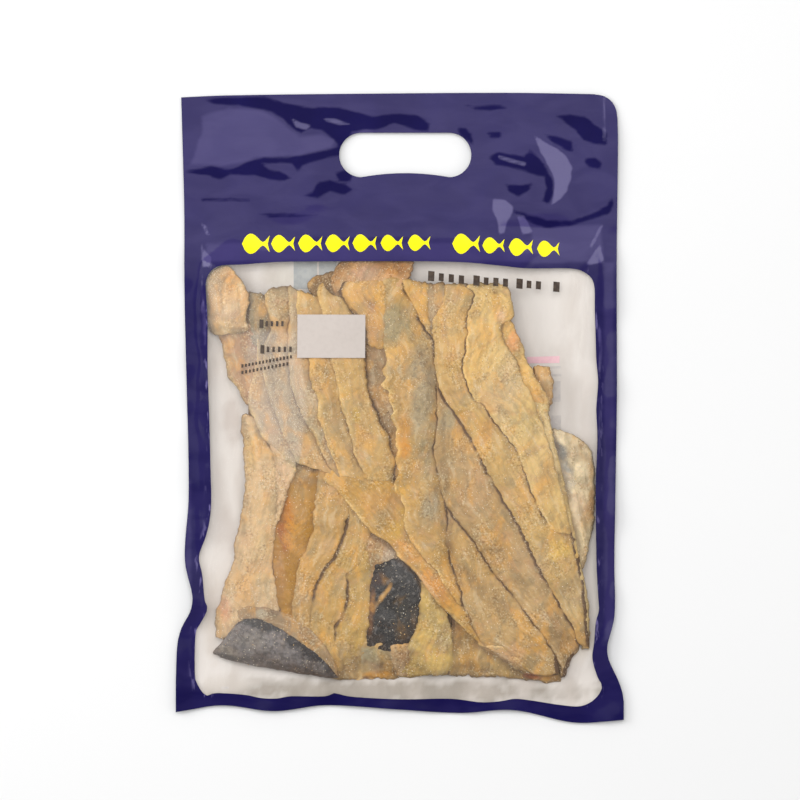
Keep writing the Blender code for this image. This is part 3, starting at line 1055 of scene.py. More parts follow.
LINE_S1B: Pixels = (
    (296, 289), (298, 321), (308.2, 359), (309, 375), (314, 391.5), (318.2, 404), (318.2, 418), (323.2, 431),
    (329, 448), (339.5, 477),
)
LINE_S2: Pixels = (
    (317, 295), (319, 301.4), (322.4, 313), (330.6, 359), (333.9, 370.7), (337.3, 385.7), (339.7, 399.8),
    (343.9, 414.7), (348, 428.8), (351.4, 443.7), (355.5, 456), (361.3, 467.7), (367, 480),
)
LINE_S3: Pixels = (
    (326.5, 286.5), (333.2, 294.8), (341.5, 297.3), (348, 307), (356, 322), (364, 341), (365, 360.8),
    (366.3, 375), (367.9, 389.8), (372.9, 403), (377.9, 412), (381.2, 424.6), (388.7, 437), (390.3, 449.5),
    (395.3, 460.3), (394, 482),
)
TORN_EDGE: Pixels = (
    (381, 277), (375, 291), (369, 306), (367, 320), (370, 334), (379, 344), (385, 354), (386, 364), (382, 372),
    (385, 379), (381, 386), (388, 392), (388, 402), (393, 410), (391, 420), (396, 429), (394, 440), (397, 450),
    (394, 460), (398, 470), (393, 486), (398.6, 496), (403.6, 508), (402.8, 519), (406, 533), (412, 543),
    (425, 559), (437, 571), (440, 580), (455, 600), (462.5, 606),
)
LOWER_EDGE: Pixels = (
    (323, 478), (337, 490), (347.2, 503), (354.7, 512), (364.6, 523.8), (372.9, 533), (385.4, 540.4),
    (394.5, 548.7), (398.6, 557), (406.9, 563.6), (420, 578), (433, 597.5), (443, 608), (459.7, 624.8),
    (474.6, 638.8), (480, 645), (495.4, 643), (503.6, 645.5), (520.2, 658.7), (531, 671),
)

FILLETS: tuple[Fillet, ...] = (
    # the lowest pieces, at the edges and the foot
    Fillet("tail_right", ((551, 428), (554, 450), (558, 470), (563, 500), (569, 525), (575, 548), (580, 566)),
        ((566, 431), (581, 439), (591, 452), (595, 480), (595, 505), (592, 530), (587.5, 552), (583, 569)),
        (255, 236, 202), Level.LOW, lift=0.5 * MM, crack_shade=(0, 0), shade=(0, 0)),
    Fillet("tab_right", ((531, 366), (535, 380), (542, 398)), ((549.7, 366), (553, 385), (551, 407)), (220, 178, 122),
        Level.LOW, crack_shade=(0.1, 0.15)),
    Fillet("gap_skin", ((248, 292), (250, 308), (248, 321), (251.4, 345)), ((264, 294), (276, 307), (278, 317),
        (270, 350)), (150, 136, 106), Level.LOW, skin=0.4, crack_shade=(0.1, 0.1)),
    Fillet("behind_top", ((314, 276), (307.5, 287), (316, 300)), ((334, 271), (342, 283), (342, 300)),
        (176, 146, 108), Level.LOW),
    Fillet("orange_top", ((343, 259), (334, 270), (331.5, 284), (338, 306)), ((415, 259), (413, 270), (408, 280),
        (392, 306)), (214, 166, 116), Level.MIDDLE, crack_shade=(0.15, 0.3)),
    Fillet("amber_well", ((300, 455), (294, 467), (288, 480), (283, 502), (276, 525), (272, 545), (273, 575),
        (280, 610), (288, 640)), ((344, 462), (325, 478), (318, 492), (316, 515), (315, 533), (308, 550), (301, 563),
        (303, 590), (314, 640)), (172, 124, 20), Level.DEEP, crack_shade=(0.6, 0.7), line=0.6, shade=(0.5, 0.35),
        tuck=(1.5, 2)),
    Fillet("brown_notch", ((369, 527), (362, 548), (360, 566), (364, 584)), ((388, 535), (402, 548), (408, 566),
        (400, 588)), (166, 130, 86), Level.DEEP, tuck=(1.5, 1.5)),
    Fillet("pale_bed", ((322, 640), (322, 656), (330, 679)), ((372, 636), (372, 655), (366, 679.5)), (210, 176, 120),
        Level.DEEP, end=1 * MM, crack_shade=(0.2, 0.3)),
    Fillet("bottom_middle", ((361, 640), (359, 660), (361, 679.5)), ((396, 640), (396, 660), (399, 678)),
        (196, 170, 126), Level.DEEP, lift=0.4 * MM, end=0.9 * MM, crack_shade=(0.3, 0.4)),
    Fillet("bottom_pink", ((388, 642), (391, 660), (393, 676)), ((411, 642), (411, 660), (412, 677)), (208, 172, 128),
        Level.DEEP, lift=0.8 * MM, end=0.9 * MM, crack_shade=(0.4, 0.2)),
    Fillet("bottom_far", ((508, 642), (510, 662), (508, 678)), ((552, 646), (562, 664), (560, 683)), (202, 168, 108),
        Level.DEEP, lift=0.3 * MM, end=1 * MM),
    Fillet("bottom_fourth", ((490, 634), (489, 660), (487, 676)), ((516, 640), (516, 662), (514, 677)),
        (200, 168, 106), Level.LOW, end=1 * MM, crack_shade=(0.35, 0.1), lift=-0.5 * MM),
    Fillet("bottom_third", ((454, 612), (453, 632), (451, 655), (448, 676)), ((490, 630), (494, 650), (493, 662),
        (493, 676.5)), (198, 164, 104), Level.LOW, end=1 * MM, crack_shade=(0.8, 0.1), tuck=(1.5, 0), line=0.8,
        lift=-0.7 * MM),
    # the lower left, with the two skins
    Fillet("left_long", ((243, 412), (241.4, 431), (244, 446), (245, 488), (243, 504), (240.6, 521), (235, 541),
        (234, 558), (228, 575), (224, 587), (220, 600), (216, 616), (216, 640)), ((256, 418), (268, 442), (282, 458),
        (293, 470), (290, 484), (285, 500), (278.7, 521), (275.4, 537), (273.8, 558), (274.6, 575), (278, 594),
        (279.6, 608), (283, 632)), (222, 190, 148), Level.LOW, lift=-0.4 * MM, crack_shade=(0.05, 0.3), shade=(0, 0.1)),
    Fillet("left_ridge", ((266, 436), (273, 455), (275.4, 480), (277, 500), (276, 520)), ((276, 446), (296, 468),
        (290, 486), (285, 502), (279, 522)), (228, 192, 156), Level.LOW, lift=0.2 * MM, crack_shade=(0, 0.25),
        rim=(0, 0.4)),
    Fillet("yellow_right", ((361, 548), (354, 566), (348.5, 574), (348.5, 590), (347, 604), (342.5, 618), (336, 631),
        (338, 664)), ((368, 548), (371, 572), (370, 600), (367.5, 627), (364, 648), (363, 670)), (204, 168, 98),
        Level.LOW, lift=-1.1 * MM, tuck=(2, 1), crack_shade=(0.8, 0.1), shade=(0.3, 0.1), line=0.45),
    Fillet("yellow_tan", ((343, 486), (349, 516), (344, 535), (336, 557), (328, 566), (317, 586), (313, 603),
        (308, 628), (318, 650), (332, 672)), ((376, 522), (370.4, 538), (364.6, 555), (357, 568), (348, 572),
        (347.4, 583.5), (346.5, 602.6), (341.7, 617), (335, 630), (346, 672)), (200, 164, 102), Level.LOW,
        lift=-0.7 * MM, tuck=(2, 0), crack_shade=(0.75, 0.3), shade=(0.3, 0.1), line=0.5),
    Fillet("middle_tan", ((318, 464), (316, 492), (313, 512), (313.5, 528), (307, 545), (298, 565), (294, 590),
        (292, 612), (300, 650)), ((346, 470), (350.5, 511), (347.2, 520.5), (343, 534.6), (334.8, 556),
        (327.3, 564.4), (316, 585), (313, 600), (310, 650)), (196, 158, 98), Level.LOW, lift=-0.2 * MM,
        crack_shade=(0.4, 0.4), shade=(0, 0.1)),
    Fillet("black_skin", ((376, 562), (371, 577), (369.5, 600), (367.5, 627), (363.7, 648)), ((402, 556), (415, 575),
        (420.5, 586), (420, 608), (416, 627), (410, 643), (398, 652)), (8, 6, 8), Level.LOW, skin=1.0, lift=-0.6 * MM,
        crack_shade=(0.3, 0.2), shade=(0, 0)),
    Fillet("bottom_yellow", ((423, 580), (420.5, 605), (417.4, 625), (409, 643), (404, 660), (400, 677)), ((432, 586),
        (444, 606), (450, 621), (453.5, 641), (455, 658), (452, 675)), (218, 186, 110), Level.LOW, end=1 * MM,
        crack_shade=(0.1, 1.0), shade=(0.3, 0.2), lift=-0.4 * MM, tuck=(1, 0)),
    Fillet("crumb_band", ((236, 608), (250, 605), (268, 607), (288, 613), (306, 624), (322, 640), (334, 658)),
        ((240, 624), (262, 624), (280, 630), (303, 645), (325, 662), (340, 680)), (164, 136, 102), Level.LOW,
        lift=0.1 * MM, crack_shade=(0.15, 0)),
    Fillet("grey_skin", ((232, 628), (223, 641), (213, 651), (218, 656), (232, 660.5), (246, 663.5)), ((242, 617.4),
        (262, 617.5), (280, 626), (303, 641.4), (325, 658.8), (341, 680)), (114, 109, 113), Level.MIDDLE, skin=0.9,
        lift=-0.5 * MM, shoulder=3.0 * MM, crack_shade=(0.2, 0.1)),
    # the middle, the upper left and the right, with the top pieces last
    Fillet("amber_diagonal", ((333, 464),) + LOWER_EDGE, ((386, 458), (388, 472), (396, 486), (404, 508), (404, 522),
        (407, 534), (420, 553), (436, 570), (442, 582), (456, 600), (464, 607), (470, 622), (480, 640), (500, 655),
        (516, 664), (534, 674)), (202, 158, 80), Level.MIDDLE, lift=-0.35 * MM, rim=(1.0, 0.0), crack_shade=(0.6, 0.2),
        shade=(0, 0.3), tuck=(0, 1.5)),
    Fillet("brown_side", LINE_S3[3:], ((378, 322), (388, 344), (394, 366), (392, 382), (396, 397), (400, 412),
        (400, 425), (402, 440), (402, 452), (402, 464), (400, 484)), (163, 131, 92), Level.LOW, lift=0.2 * MM,
        skin=0.2, tuck=(2, 2), crack_shade=(1.0, 0.3), line=0.8, shade=(0.5, 0.25)),
    Fillet("left_flap", ((216, 330), (221.6, 344), (224, 354.5), (225.7, 368.6), (229, 378), (236.5, 387),
        (247, 406)), ((251, 324), (259, 350), (257, 370), (254, 385), (249, 406)), (184, 145, 114), Level.LOW,
        lift=-0.2 * MM, rim=(0.8, 0), crack_shade=(0, 0.1), tuck=(0, 2)),
    Fillet("left_tip", ((225, 265), (212, 271), (206, 284), (206.6, 305), (207.5, 325), (215, 336)), ((229, 266),
        (241, 279), (248, 291), (250.6, 300), (247, 315), (246.4, 322), (250, 332)), (224, 194, 156), Level.UPPER,
        rim=(0.3, 0.8), sink=1.0, crack_shade=(0, 0.15)),
    Fillet("pale_strip", ((257, 336), (257, 359), (252, 378), (248, 404), (256, 423), (264, 438), (275, 450),
        (285, 460), (296, 472)), LINE_P, (197, 169, 134), Level.LOW, lift=0.4 * MM, rim=(0.8, 0), tilt=0.3,
        tuck=(0, 2), crack_shade=(0, 0), shade=(0, 0.3)),
    Fillet("first_strip", ((270.5, 289), (265, 297), (265, 305), (269.5, 315), (271, 330), (263, 345)) + LINE_P[1:],
        LINE_S1, (186, 165, 134), Level.MIDDLE, lift=-0.2 * MM, tilt=0.3, tuck=(0, 2), crack_shade=(0.2, 0.25),
        rim=(0.4, 0), shade=(0, 0.3)),
    Fillet("thin_strip", LINE_S1, LINE_S1B, (196, 173, 144), Level.MIDDLE, lift=0.35 * MM, tilt=0.2, sink=0.6,
        tuck=(0, 2), crack_shade=(0.3, 0.15), rim=(0.4, 0), shade=(0, 0.3)),
    Fillet("second_strip", LINE_S1B, LINE_S2, (208, 171, 112), Level.UPPER, line=0.8, lift=0.1 * MM, rim=(0.75, 0),
        tilt=0.3, sink=1.2, tuck=(0, 2), crack_shade=(0.1, 0.15), shade=(0, 0.5)),
    Fillet("third_strip", ((321.6, 283.5), (317.4, 288)) + LINE_S2[1:], ((322.5, 283.5),) + LINE_S3, (205, 170, 112),
        Level.TOP, rim=(0.6, 0), tilt=0.3, sink=1.6, crack_shade=(0.1, 0.4), shade=(0, 0.3), line=0.7),
    Fillet("amber_tab", ((346, 281), (341, 291), (345, 301), (356, 313), (364, 326), (368, 346)), ((376, 279),
        (384, 284), (386, 300), (384, 316), (384, 330), (382, 350)), (220, 170, 92), Level.MIDDLE, lift=0.4 * MM,
        tuck=(2, 1), crack_shade=(0.5, 0.1), shade=(0.4, 0.1), rim=(0.6, 0)),
    Fillet("lower_centre", ((436, 464), (440, 485), (444.8, 504), (447, 521), (445, 540), (448, 553), (454.7, 575),
        (459.7, 591), (463, 606), (470, 622), (479, 640), (500, 655), (530, 675)), ((438, 462), (443, 487),
        (446, 502.7)) + CRACK_B[7:-1] + ((556, 676),), (200, 166, 112), Level.LOW, lift=0.7 * MM, tuck=(2.5, 2),
        crack_shade=(0.5, 0.9), line=0.65, shade=(0.15, 0.25)),
    Fillet("grey_wedge", ((427.4, 283), (427, 300), (428, 312), (430, 325), (431, 334)), ((443.5, 283), (444.3, 300),
        (440, 312), (434, 322), (433.5, 338)), (184, 158, 124), Level.MIDDLE, tuck=(1, 1), crack_shade=(0.1, 0.1),
        shade=(0.3, 0.4)),
    Fillet("centre", TORN_EDGE, ((402, 277),) + CRACK_F + CRACK_E, (192, 154, 88), Level.MIDDLE, lift=0.1 * MM,
        crack_shade=(0.3, 0.6), line=0.6, rim=(0.8, 0), tuck=(0, 1), shade=(0, 0.3), shoulder=1.3 * MM, drop=1.1 * MM),
    Fillet("centre_right", ((401, 279), (405, 290), (411, 303), (417, 315), (423, 326), (430, 335)), ((428, 283),
        (427.4, 300), (427, 313), (428.7, 324), (432, 337)), (218, 178, 110), Level.UPPER, crack_shade=(0.7, 0.1),
        tuck=(0.3, 1), lift=-0.2 * MM),
    Fillet("long_middle", CRACK_B + ((560, 677),), CRACK_A[6:] + ((575.4, 629), (576, 639), (575, 650),
        (568.8, 659.5), (562, 677)), (194, 161, 112), Level.MIDDLE, lift=0.45 * MM, crack_shade=(0.4, 1.1),
        shade=(0.1, 0.3), line=0.9, tuck=(0, 1.5)),
    Fillet("outer_strip", ((533, 400), (540, 418), (548.5, 442), (554.7, 466.5), (558.8, 480), (565, 505), (570, 525),
        (574, 545), (577, 562), (581, 590), (584.5, 620), (586, 650)), ((548, 404), (550, 420), (556.3, 450.7),
        (561.3, 469), (568.8, 504.6), (574.6, 533.7), (579.6, 560), (583.7, 576.6), (587.8, 597.3), (589.5, 618),
        (589.5, 651)), (226, 200, 146), Level.MIDDLE, lift=0.45 * MM, rim=(0, 0.7), tuck=(2.5, 0), crack_shade=(0.25, 0),
        shade=(0.2, 0), line=0.4),
    Fillet("orange_edge", ((500, 313),) + CRACK_D[:7] + ((545, 430),), ((507, 314), (512.5, 324), (519, 338.2),
        (523.2, 349), (526.5, 359.8), (536.4, 378.8), (543, 389.6), (548, 401.2), (548, 412), (547, 430)),
        (242, 198, 122), Level.MIDDLE, lift=0.3 * MM, tuck=(2, 0), crack_shade=(0.35, 0), shade=(0.2, 0), line=0.4,
        rim=(0, 0.6)),
    Fillet("right_first", ((444, 284),) + CRACK_A + ((576, 642),), ((464, 283),) + CRACK_C[:-1] + ((568, 532),
        (573, 545), (577, 565), (581, 590), (584.5, 615), (586, 648)), (211, 176, 114), Level.UPPER, lift=0.1 * MM,
        crack_shade=(0.5, 0.7), line=0.45, shade=(0.1, 0.25), tuck=(0, 2)),
    Fillet("right_second", ((478, 283),) + CRACK_C[:-1] + ((549, 530),), ((502.8, 283), (510, 292.4), (512, 306.5),
        (513.6, 318)) + CRACK_D[:-2] + ((571, 536),), (231, 198, 134), Level.TOP, crack_shade=(0.3, 0.3), shade=(0, 0.1),
        rim=(0.5, 0)),
)

STAINS: tuple[Stain, ...] = tuple(Stain(only, *row) for only, *rows in (
    ("left_tip", ((233, 277), (16, 9), 40, (229, 170, 100), 0.9), ((247, 297), (7, 16), 0, (224, 172, 112), 0.7),
     ((220, 330), (12, 10), 30, (226, 192, 128), 0.5)),
    ("", ((240, 330), (10, 3.5), 0, (128, 98, 68), 0.8)),
    ("left_tip", ((238, 319), (13, 9), -10, (186, 152, 118), 0.7)),
    ("gap_skin", ((264, 307), (5, 12), -20, (190, 148, 84), 0.7)),
    ("", ((300, 455), (22, 20), -30, (186, 172, 146), 0.6)),
    ("thin_strip", ((308, 438), (14, 28), -25, (172, 163, 138), 0.6)),
    ("", ((283, 305), (9, 9), 0, (210, 178, 132), 0.5), ((306, 300), (10, 8), 0, (208, 170, 112), 0.5),
     ((277, 300), (4, 9), 0, (160, 132, 98), 0.6)),
    ("third_strip", ((350, 460), (14, 26), -30, (196, 160, 116), 0.5)),
    ("", ((344, 395), (10, 12), 0, (222, 184, 112), 0.5), ((352, 350), (12, 12), 0, (208, 172, 116), 0.3)),
    ("orange_top", ((365, 274), (15, 7), 10, (205, 162, 138), 0.8), ((397, 270), (14, 8), 0, (206, 142, 74), 0.9),
     ((338, 275), (6, 16), 10, (214, 158, 92), 0.7)),
    ("amber_tab", ((356, 292), (11, 9), 0, (226, 176, 96), 0.8), ((371, 305), (8, 9), 0, (176, 134, 96), 0.6),
     ((373, 330), (7, 14), 0, (204, 154, 92), 0.7)),
    ("centre", ((388, 290), (11, 9), 0, (220, 178, 110), 0.8), ((396, 325), (18, 19), 0, (170, 156, 116), 0.85, 0.4),
     ((418, 344), (11, 5), 10, (220, 178, 96), 0.9), ((421, 395), (14, 50), 0, (178, 163, 134), 0.85, 0.4),
     ((425, 460), (9, 26), 0, (172, 156, 122), 0.7, 0.4), ((388, 362), (8, 10), 0, (216, 176, 116), 0.6),
     ((402, 430), (8, 14), 0, (206, 152, 76), 0.9), ((404, 392), (9, 22), 0, (208, 166, 104), 0.7),
     ((430, 505), (10, 18), -20, (172, 160, 136), 0.8, 0.4), ((412, 495), (12, 18), -30, (216, 174, 102), 0.6),
     ((436, 548), (9, 14), -40, (206, 168, 100), 0.5)),
    ("brown_side", ((385, 420), (9, 20), -20, (158, 132, 104), 0.7, 0.3),
     ((372, 375), (6, 18), 0, (150, 128, 98), 0.6, 0.3)),
    ("long_middle", ((450, 415), (10, 22), -30, (176, 162, 132), 0.8, 0.4),
     ((476, 495), (14, 20), -40, (190, 154, 112), 0.6), ((530, 600), (20, 30), -30, (198, 168, 126), 0.5)),
    ("right_first", ((452, 300), (9, 16), 0, (186, 162, 122), 0.5), ((450, 340), (12, 20), 0, (220, 180, 114), 0.7),
     ((455, 390), (12, 18), -20, (206, 170, 118), 0.5), ((557, 549), (13, 9), 20, (246, 208, 112), 0.95),
     ((570, 600), (12, 30), -10, (214, 186, 138), 0.7)),
    ("right_second", ((488, 300), (12, 14), 0, (224, 190, 126), 0.5), ((500, 316), (5, 7), 0, (240, 204, 176), 0.9),
     ((505, 395), (18, 42), -15, (222, 196, 158), 0.6), ((475, 385), (8, 24), -10, (222, 178, 102), 0.7),
     ((522, 424), (16, 14), -30, (210, 186, 130), 0.6), ((545, 480), (10, 28), -15, (214, 172, 106), 0.7)),
    ("orange_edge", ((515, 340), (7, 13), -30, (243, 172, 112), 0.9),
     ((535, 400), (8, 16), -30, (222, 166, 96), 0.5)),
    ("", ((584, 634), (7, 14), 0, (150, 134, 104), 0.7)),
    ("amber_tab", ((385, 300), (16, 10), -20, (230, 176, 84), 0.8), ((371, 306), (5, 5), 0, (168, 130, 104), 0.7)),
    ("centre", ((404, 448), (6, 9), 0, (216, 150, 44), 0.9), ((393, 352), (8, 5), 20, (226, 176, 88), 0.8),
     ((410, 545), (10, 12), -40, (222, 170, 84), 0.7), ((404, 492), (10, 8), -20, (222, 172, 78), 0.8)),
    ("right_second", ((557, 546), (13, 8), 20, (248, 208, 112), 0.95)),
    ("outer_strip", ((575, 556), (5, 14), -10, (232, 190, 108), 0.8)),
    ("right_first", ((490, 425), (7, 24), -32, (196, 152, 100), 0.5), ((478, 345), (4, 18), 0, (156, 124, 82), 0.7),
     ((470, 303), (5, 14), 0, (176, 150, 100), 0.7), ((540, 560), (8, 14), -30, (206, 176, 132), 0.5)),
    ("right_second", ((486, 410), (9, 6), -30, (232, 186, 116), 0.7)),
    ("second_strip", ((333, 400), (5, 40), 10, (176, 142, 96), 0.6), ((324, 440), (6, 14), 10, (196, 160, 112), 0.5)),
    ("third_strip", ((358, 405), (4, 30), 15, (188, 158, 112), 0.5), ((345, 355), (6, 10), 0, (216, 172, 96), 0.6),
     ((357, 416), (4, 7), 0, (214, 176, 76), 0.6), ((370, 470), (12, 10), -20, (210, 168, 96), 0.6)),
    ("bottom_third", ((458, 634), (4, 14), -5, (150, 112, 70), 0.8)),
    ("amber_well", ((288, 510), (6, 16), 10, (206, 130, 8), 0.85), ((300, 500), (8, 26), 5, (196, 150, 76), 0.6)),
    ("middle_tan", ((330, 545), (10, 8), 0, (212, 176, 136), 0.6), ((302, 590), (9, 14), 0, (208, 172, 128), 0.6)),
    ("yellow_tan", ((345, 560), (9, 14), 30, (190, 158, 92), 0.5)),
    ("yellow_right", ((355, 640), (8, 14), 0, (218, 182, 108), 0.7)),
    ("yellow_tan", ((330, 648), (10, 10), 0, (222, 188, 122), 0.7)),
    ("bottom_yellow", ((440, 640), (4, 22), -10, (186, 152, 86), 0.5)),
    ("tail_right", ((561, 454), (6, 16), 25, (128, 132, 136), 0.9, 0.3),
     ((566, 478), (6, 18), 15, (196, 198, 202), 0.5, 0.2), ((580, 510), (8, 20), 15, (238, 212, 190), 0.6),
     ((592, 500), (3, 16), 0, (196, 146, 96), 0.6)),
    ("amber_diagonal", ((434, 585), (22, 9), -45, (222, 156, 74), 0.9),
     ((405, 552), (16, 8), -40, (222, 160, 84), 0.8), ((380, 505), (22, 14), -35, (196, 152, 96), 0.6),
     ((345, 485), (18, 6), -20, (206, 166, 106), 0.6), ((400, 520), (8, 20), -30, (212, 170, 62), 0.6),
     ((500, 650), (20, 8), -35, (222, 182, 142), 0.6)),
    ("", ((533, 645), (8, 12), -30, (212, 160, 66), 0.8), ((516, 655), (8, 9), -40, (220, 168, 116), 0.6)),
    ("left_long", ((225, 609), (6, 13), 10, (214, 150, 112), 0.8), ((250, 450), (7, 20), 0, (222, 184, 112), 0.6),
     ((262, 560), (9, 40), 5, (226, 196, 146), 0.5), ((244, 500), (4, 26), 0, (198, 168, 128), 0.5)),
    ("amber_well", ((284, 534), (6, 20), 10, (168, 98, 14), 0.95), ((281, 570), (5, 24), 5, (186, 134, 66), 0.7),
     ((305, 480), (12, 7), 10, (160, 122, 78), 0.6)),
    ("brown_notch", ((388, 556), (9, 9), 0, (186, 170, 156), 0.9)),
    ("black_skin", ((371, 612), (3.4, 20), -4, (112, 72, 36), 0.85),
     ((384, 594), (2.6, 12), -35, (176, 138, 84), 0.95), ((380, 579), (9, 7), 0, (58, 34, 30), 0.8),
     ((404, 615), (12, 18), 0, (52, 50, 44), 0.5)),
    ("grey_skin", ((262, 624), (30, 6), -12, (14, 12, 16), 0.95, 1.0),
     ((308, 649), (36, 9), -36, (24, 20, 26), 0.95, 1.0), ((230, 657), (16, 4), -6, (26, 24, 26), 0.95, 1.0),
     ((292, 668), (40, 4), -12, (58, 52, 54), 0.85, 1.0)),
    ("bottom_middle", ((374, 655), (12, 9), 0, (192, 186, 152), 0.7), ((378, 674), (16, 4), 5, (216, 158, 68), 0.9)),
    ("", ((366, 679), (4, 3), 0, (96, 48, 34), 0.9), ((532, 676), (9, 3), -8, (176, 82, 40), 0.95),
     ((550, 677), (8, 4), -8, (220, 160, 66), 0.8)),
    ("bottom_yellow", ((430, 640), (8, 20), 0, (206, 176, 104), 0.5)),
    ("bottom_middle", ((366, 652), (6, 7), 0, (206, 204, 180), 0.7), ((380, 665), (5, 4), 10, (92, 72, 52), 0.8)),
    ("bottom_pink", ((392, 672), (5, 5), 0, (120, 84, 44), 0.8)),
    ("crumb_band", ((276, 612), (7, 5), 0, (120, 104, 84), 0.7), ((305, 633), (8, 6), -40, (176, 140, 96), 0.7),
     ((262, 613), (5, 4), 0, (196, 188, 168), 0.6)),
    ("grey_skin", ((250, 638), (16, 9), -10, (128, 120, 114), 0.6, 0.9),
     ((261, 654), (6, 5), 0, (66, 54, 52), 0.7, 1.0), ((229, 650), (12, 4), -20, (154, 146, 134), 0.6, 0.9)),
    # painted shade on the white inside: darker at the window's foot and along the folds at its sides and top
    ("back_lining", ((390, 691), (210, 12), 0, (150, 141, 130), 0.9), ((225, 684), (26, 9), 0, (206, 198, 190), 0.8),
     ((232, 420), (9, 20), 0, (192, 180, 172), 0.7), ((226, 530), (14, 22), 20, (198, 188, 182), 0.6),
     ((212, 620), (8, 36), 0, (206, 194, 182), 0.5), ((572, 640), (20, 18), -30, (206, 196, 182), 0.6),
     ((587, 440), (8, 60), 0, (212, 203, 196), 0.6), ((280, 275), (16, 12), 0, (206, 200, 188), 0.6)),
) for row in rows)


STAIN_REACH, STAIN_FADE = 1.35, 0.75


def stained(
    x: np.ndarray, y: np.ndarray, colour: Colour, name: str, skin: float = 0.0
) -> tuple[np.ndarray, np.ndarray]:
    """Lays the stains of one piece over its colour; on the back lining they are painted shade.

    Args:
        x: places across.
        y: places along.
        colour: the piece's colour as seen.
        name: the piece's name.
        skin: its share of skin.

    Returns:
        The linear colour and the share of skin at each place.
    """
    tint, skins = np.tile(np.array(linear(colour)), (len(x), 1)), np.full(len(x), skin)
    for stain in STAINS:
        if stain.only != name and (stain.only or name == "back_lining"):
            continue
        centre = Photo.at([stain.centre])[0]
        turn = math.radians(stain.turn)
        dx, dy = x - centre[0], y - centre[1]
        across = (dx * math.cos(turn) + dy * math.sin(turn)) / (stain.radii[0] * Photo.SCALE)
        along = (dy * math.cos(turn) - dx * math.sin(turn)) / (stain.radii[1] * Photo.SCALE)
        near = waves(x, y, np.hypot(across, along), (0.3, 5 * MM, 31), (0.16, 2 * MM, 32))
        share = stain.strength * np.clip((STAIN_REACH - near) / STAIN_FADE, 0, 1)
        tint += (np.array(linear(stain.colour)) - tint) * share[:, None]
        skins += (stain.skin - skins) * share
    return tint, skins


@dataclass
class Strip:
    """A fillet's net, with the widths and distances that its heights and colours are made from."""

    net: np.ndarray
    shares: np.ndarray
    width: np.ndarray
    pinch: np.ndarray
    run: np.ndarray

    @property
    def places(self) -> tuple[np.ndarray, np.ndarray]:
        """Returns the x and y of each point."""
        return self.net[..., 0], self.net[..., 1]

    @property
    def from_end(self) -> np.ndarray:
        """Returns how far each row lies from the nearer end."""
        return np.minimum(self.run, self.run[-1] - self.run)[:, None]

    @property
    def from_sides(self) -> tuple[np.ndarray, np.ndarray]:
        """Returns how far each point lies from the left and from the right edge."""
        return self.shares * self.width[:, None], (1 - self.shares) * self.width[:, None]


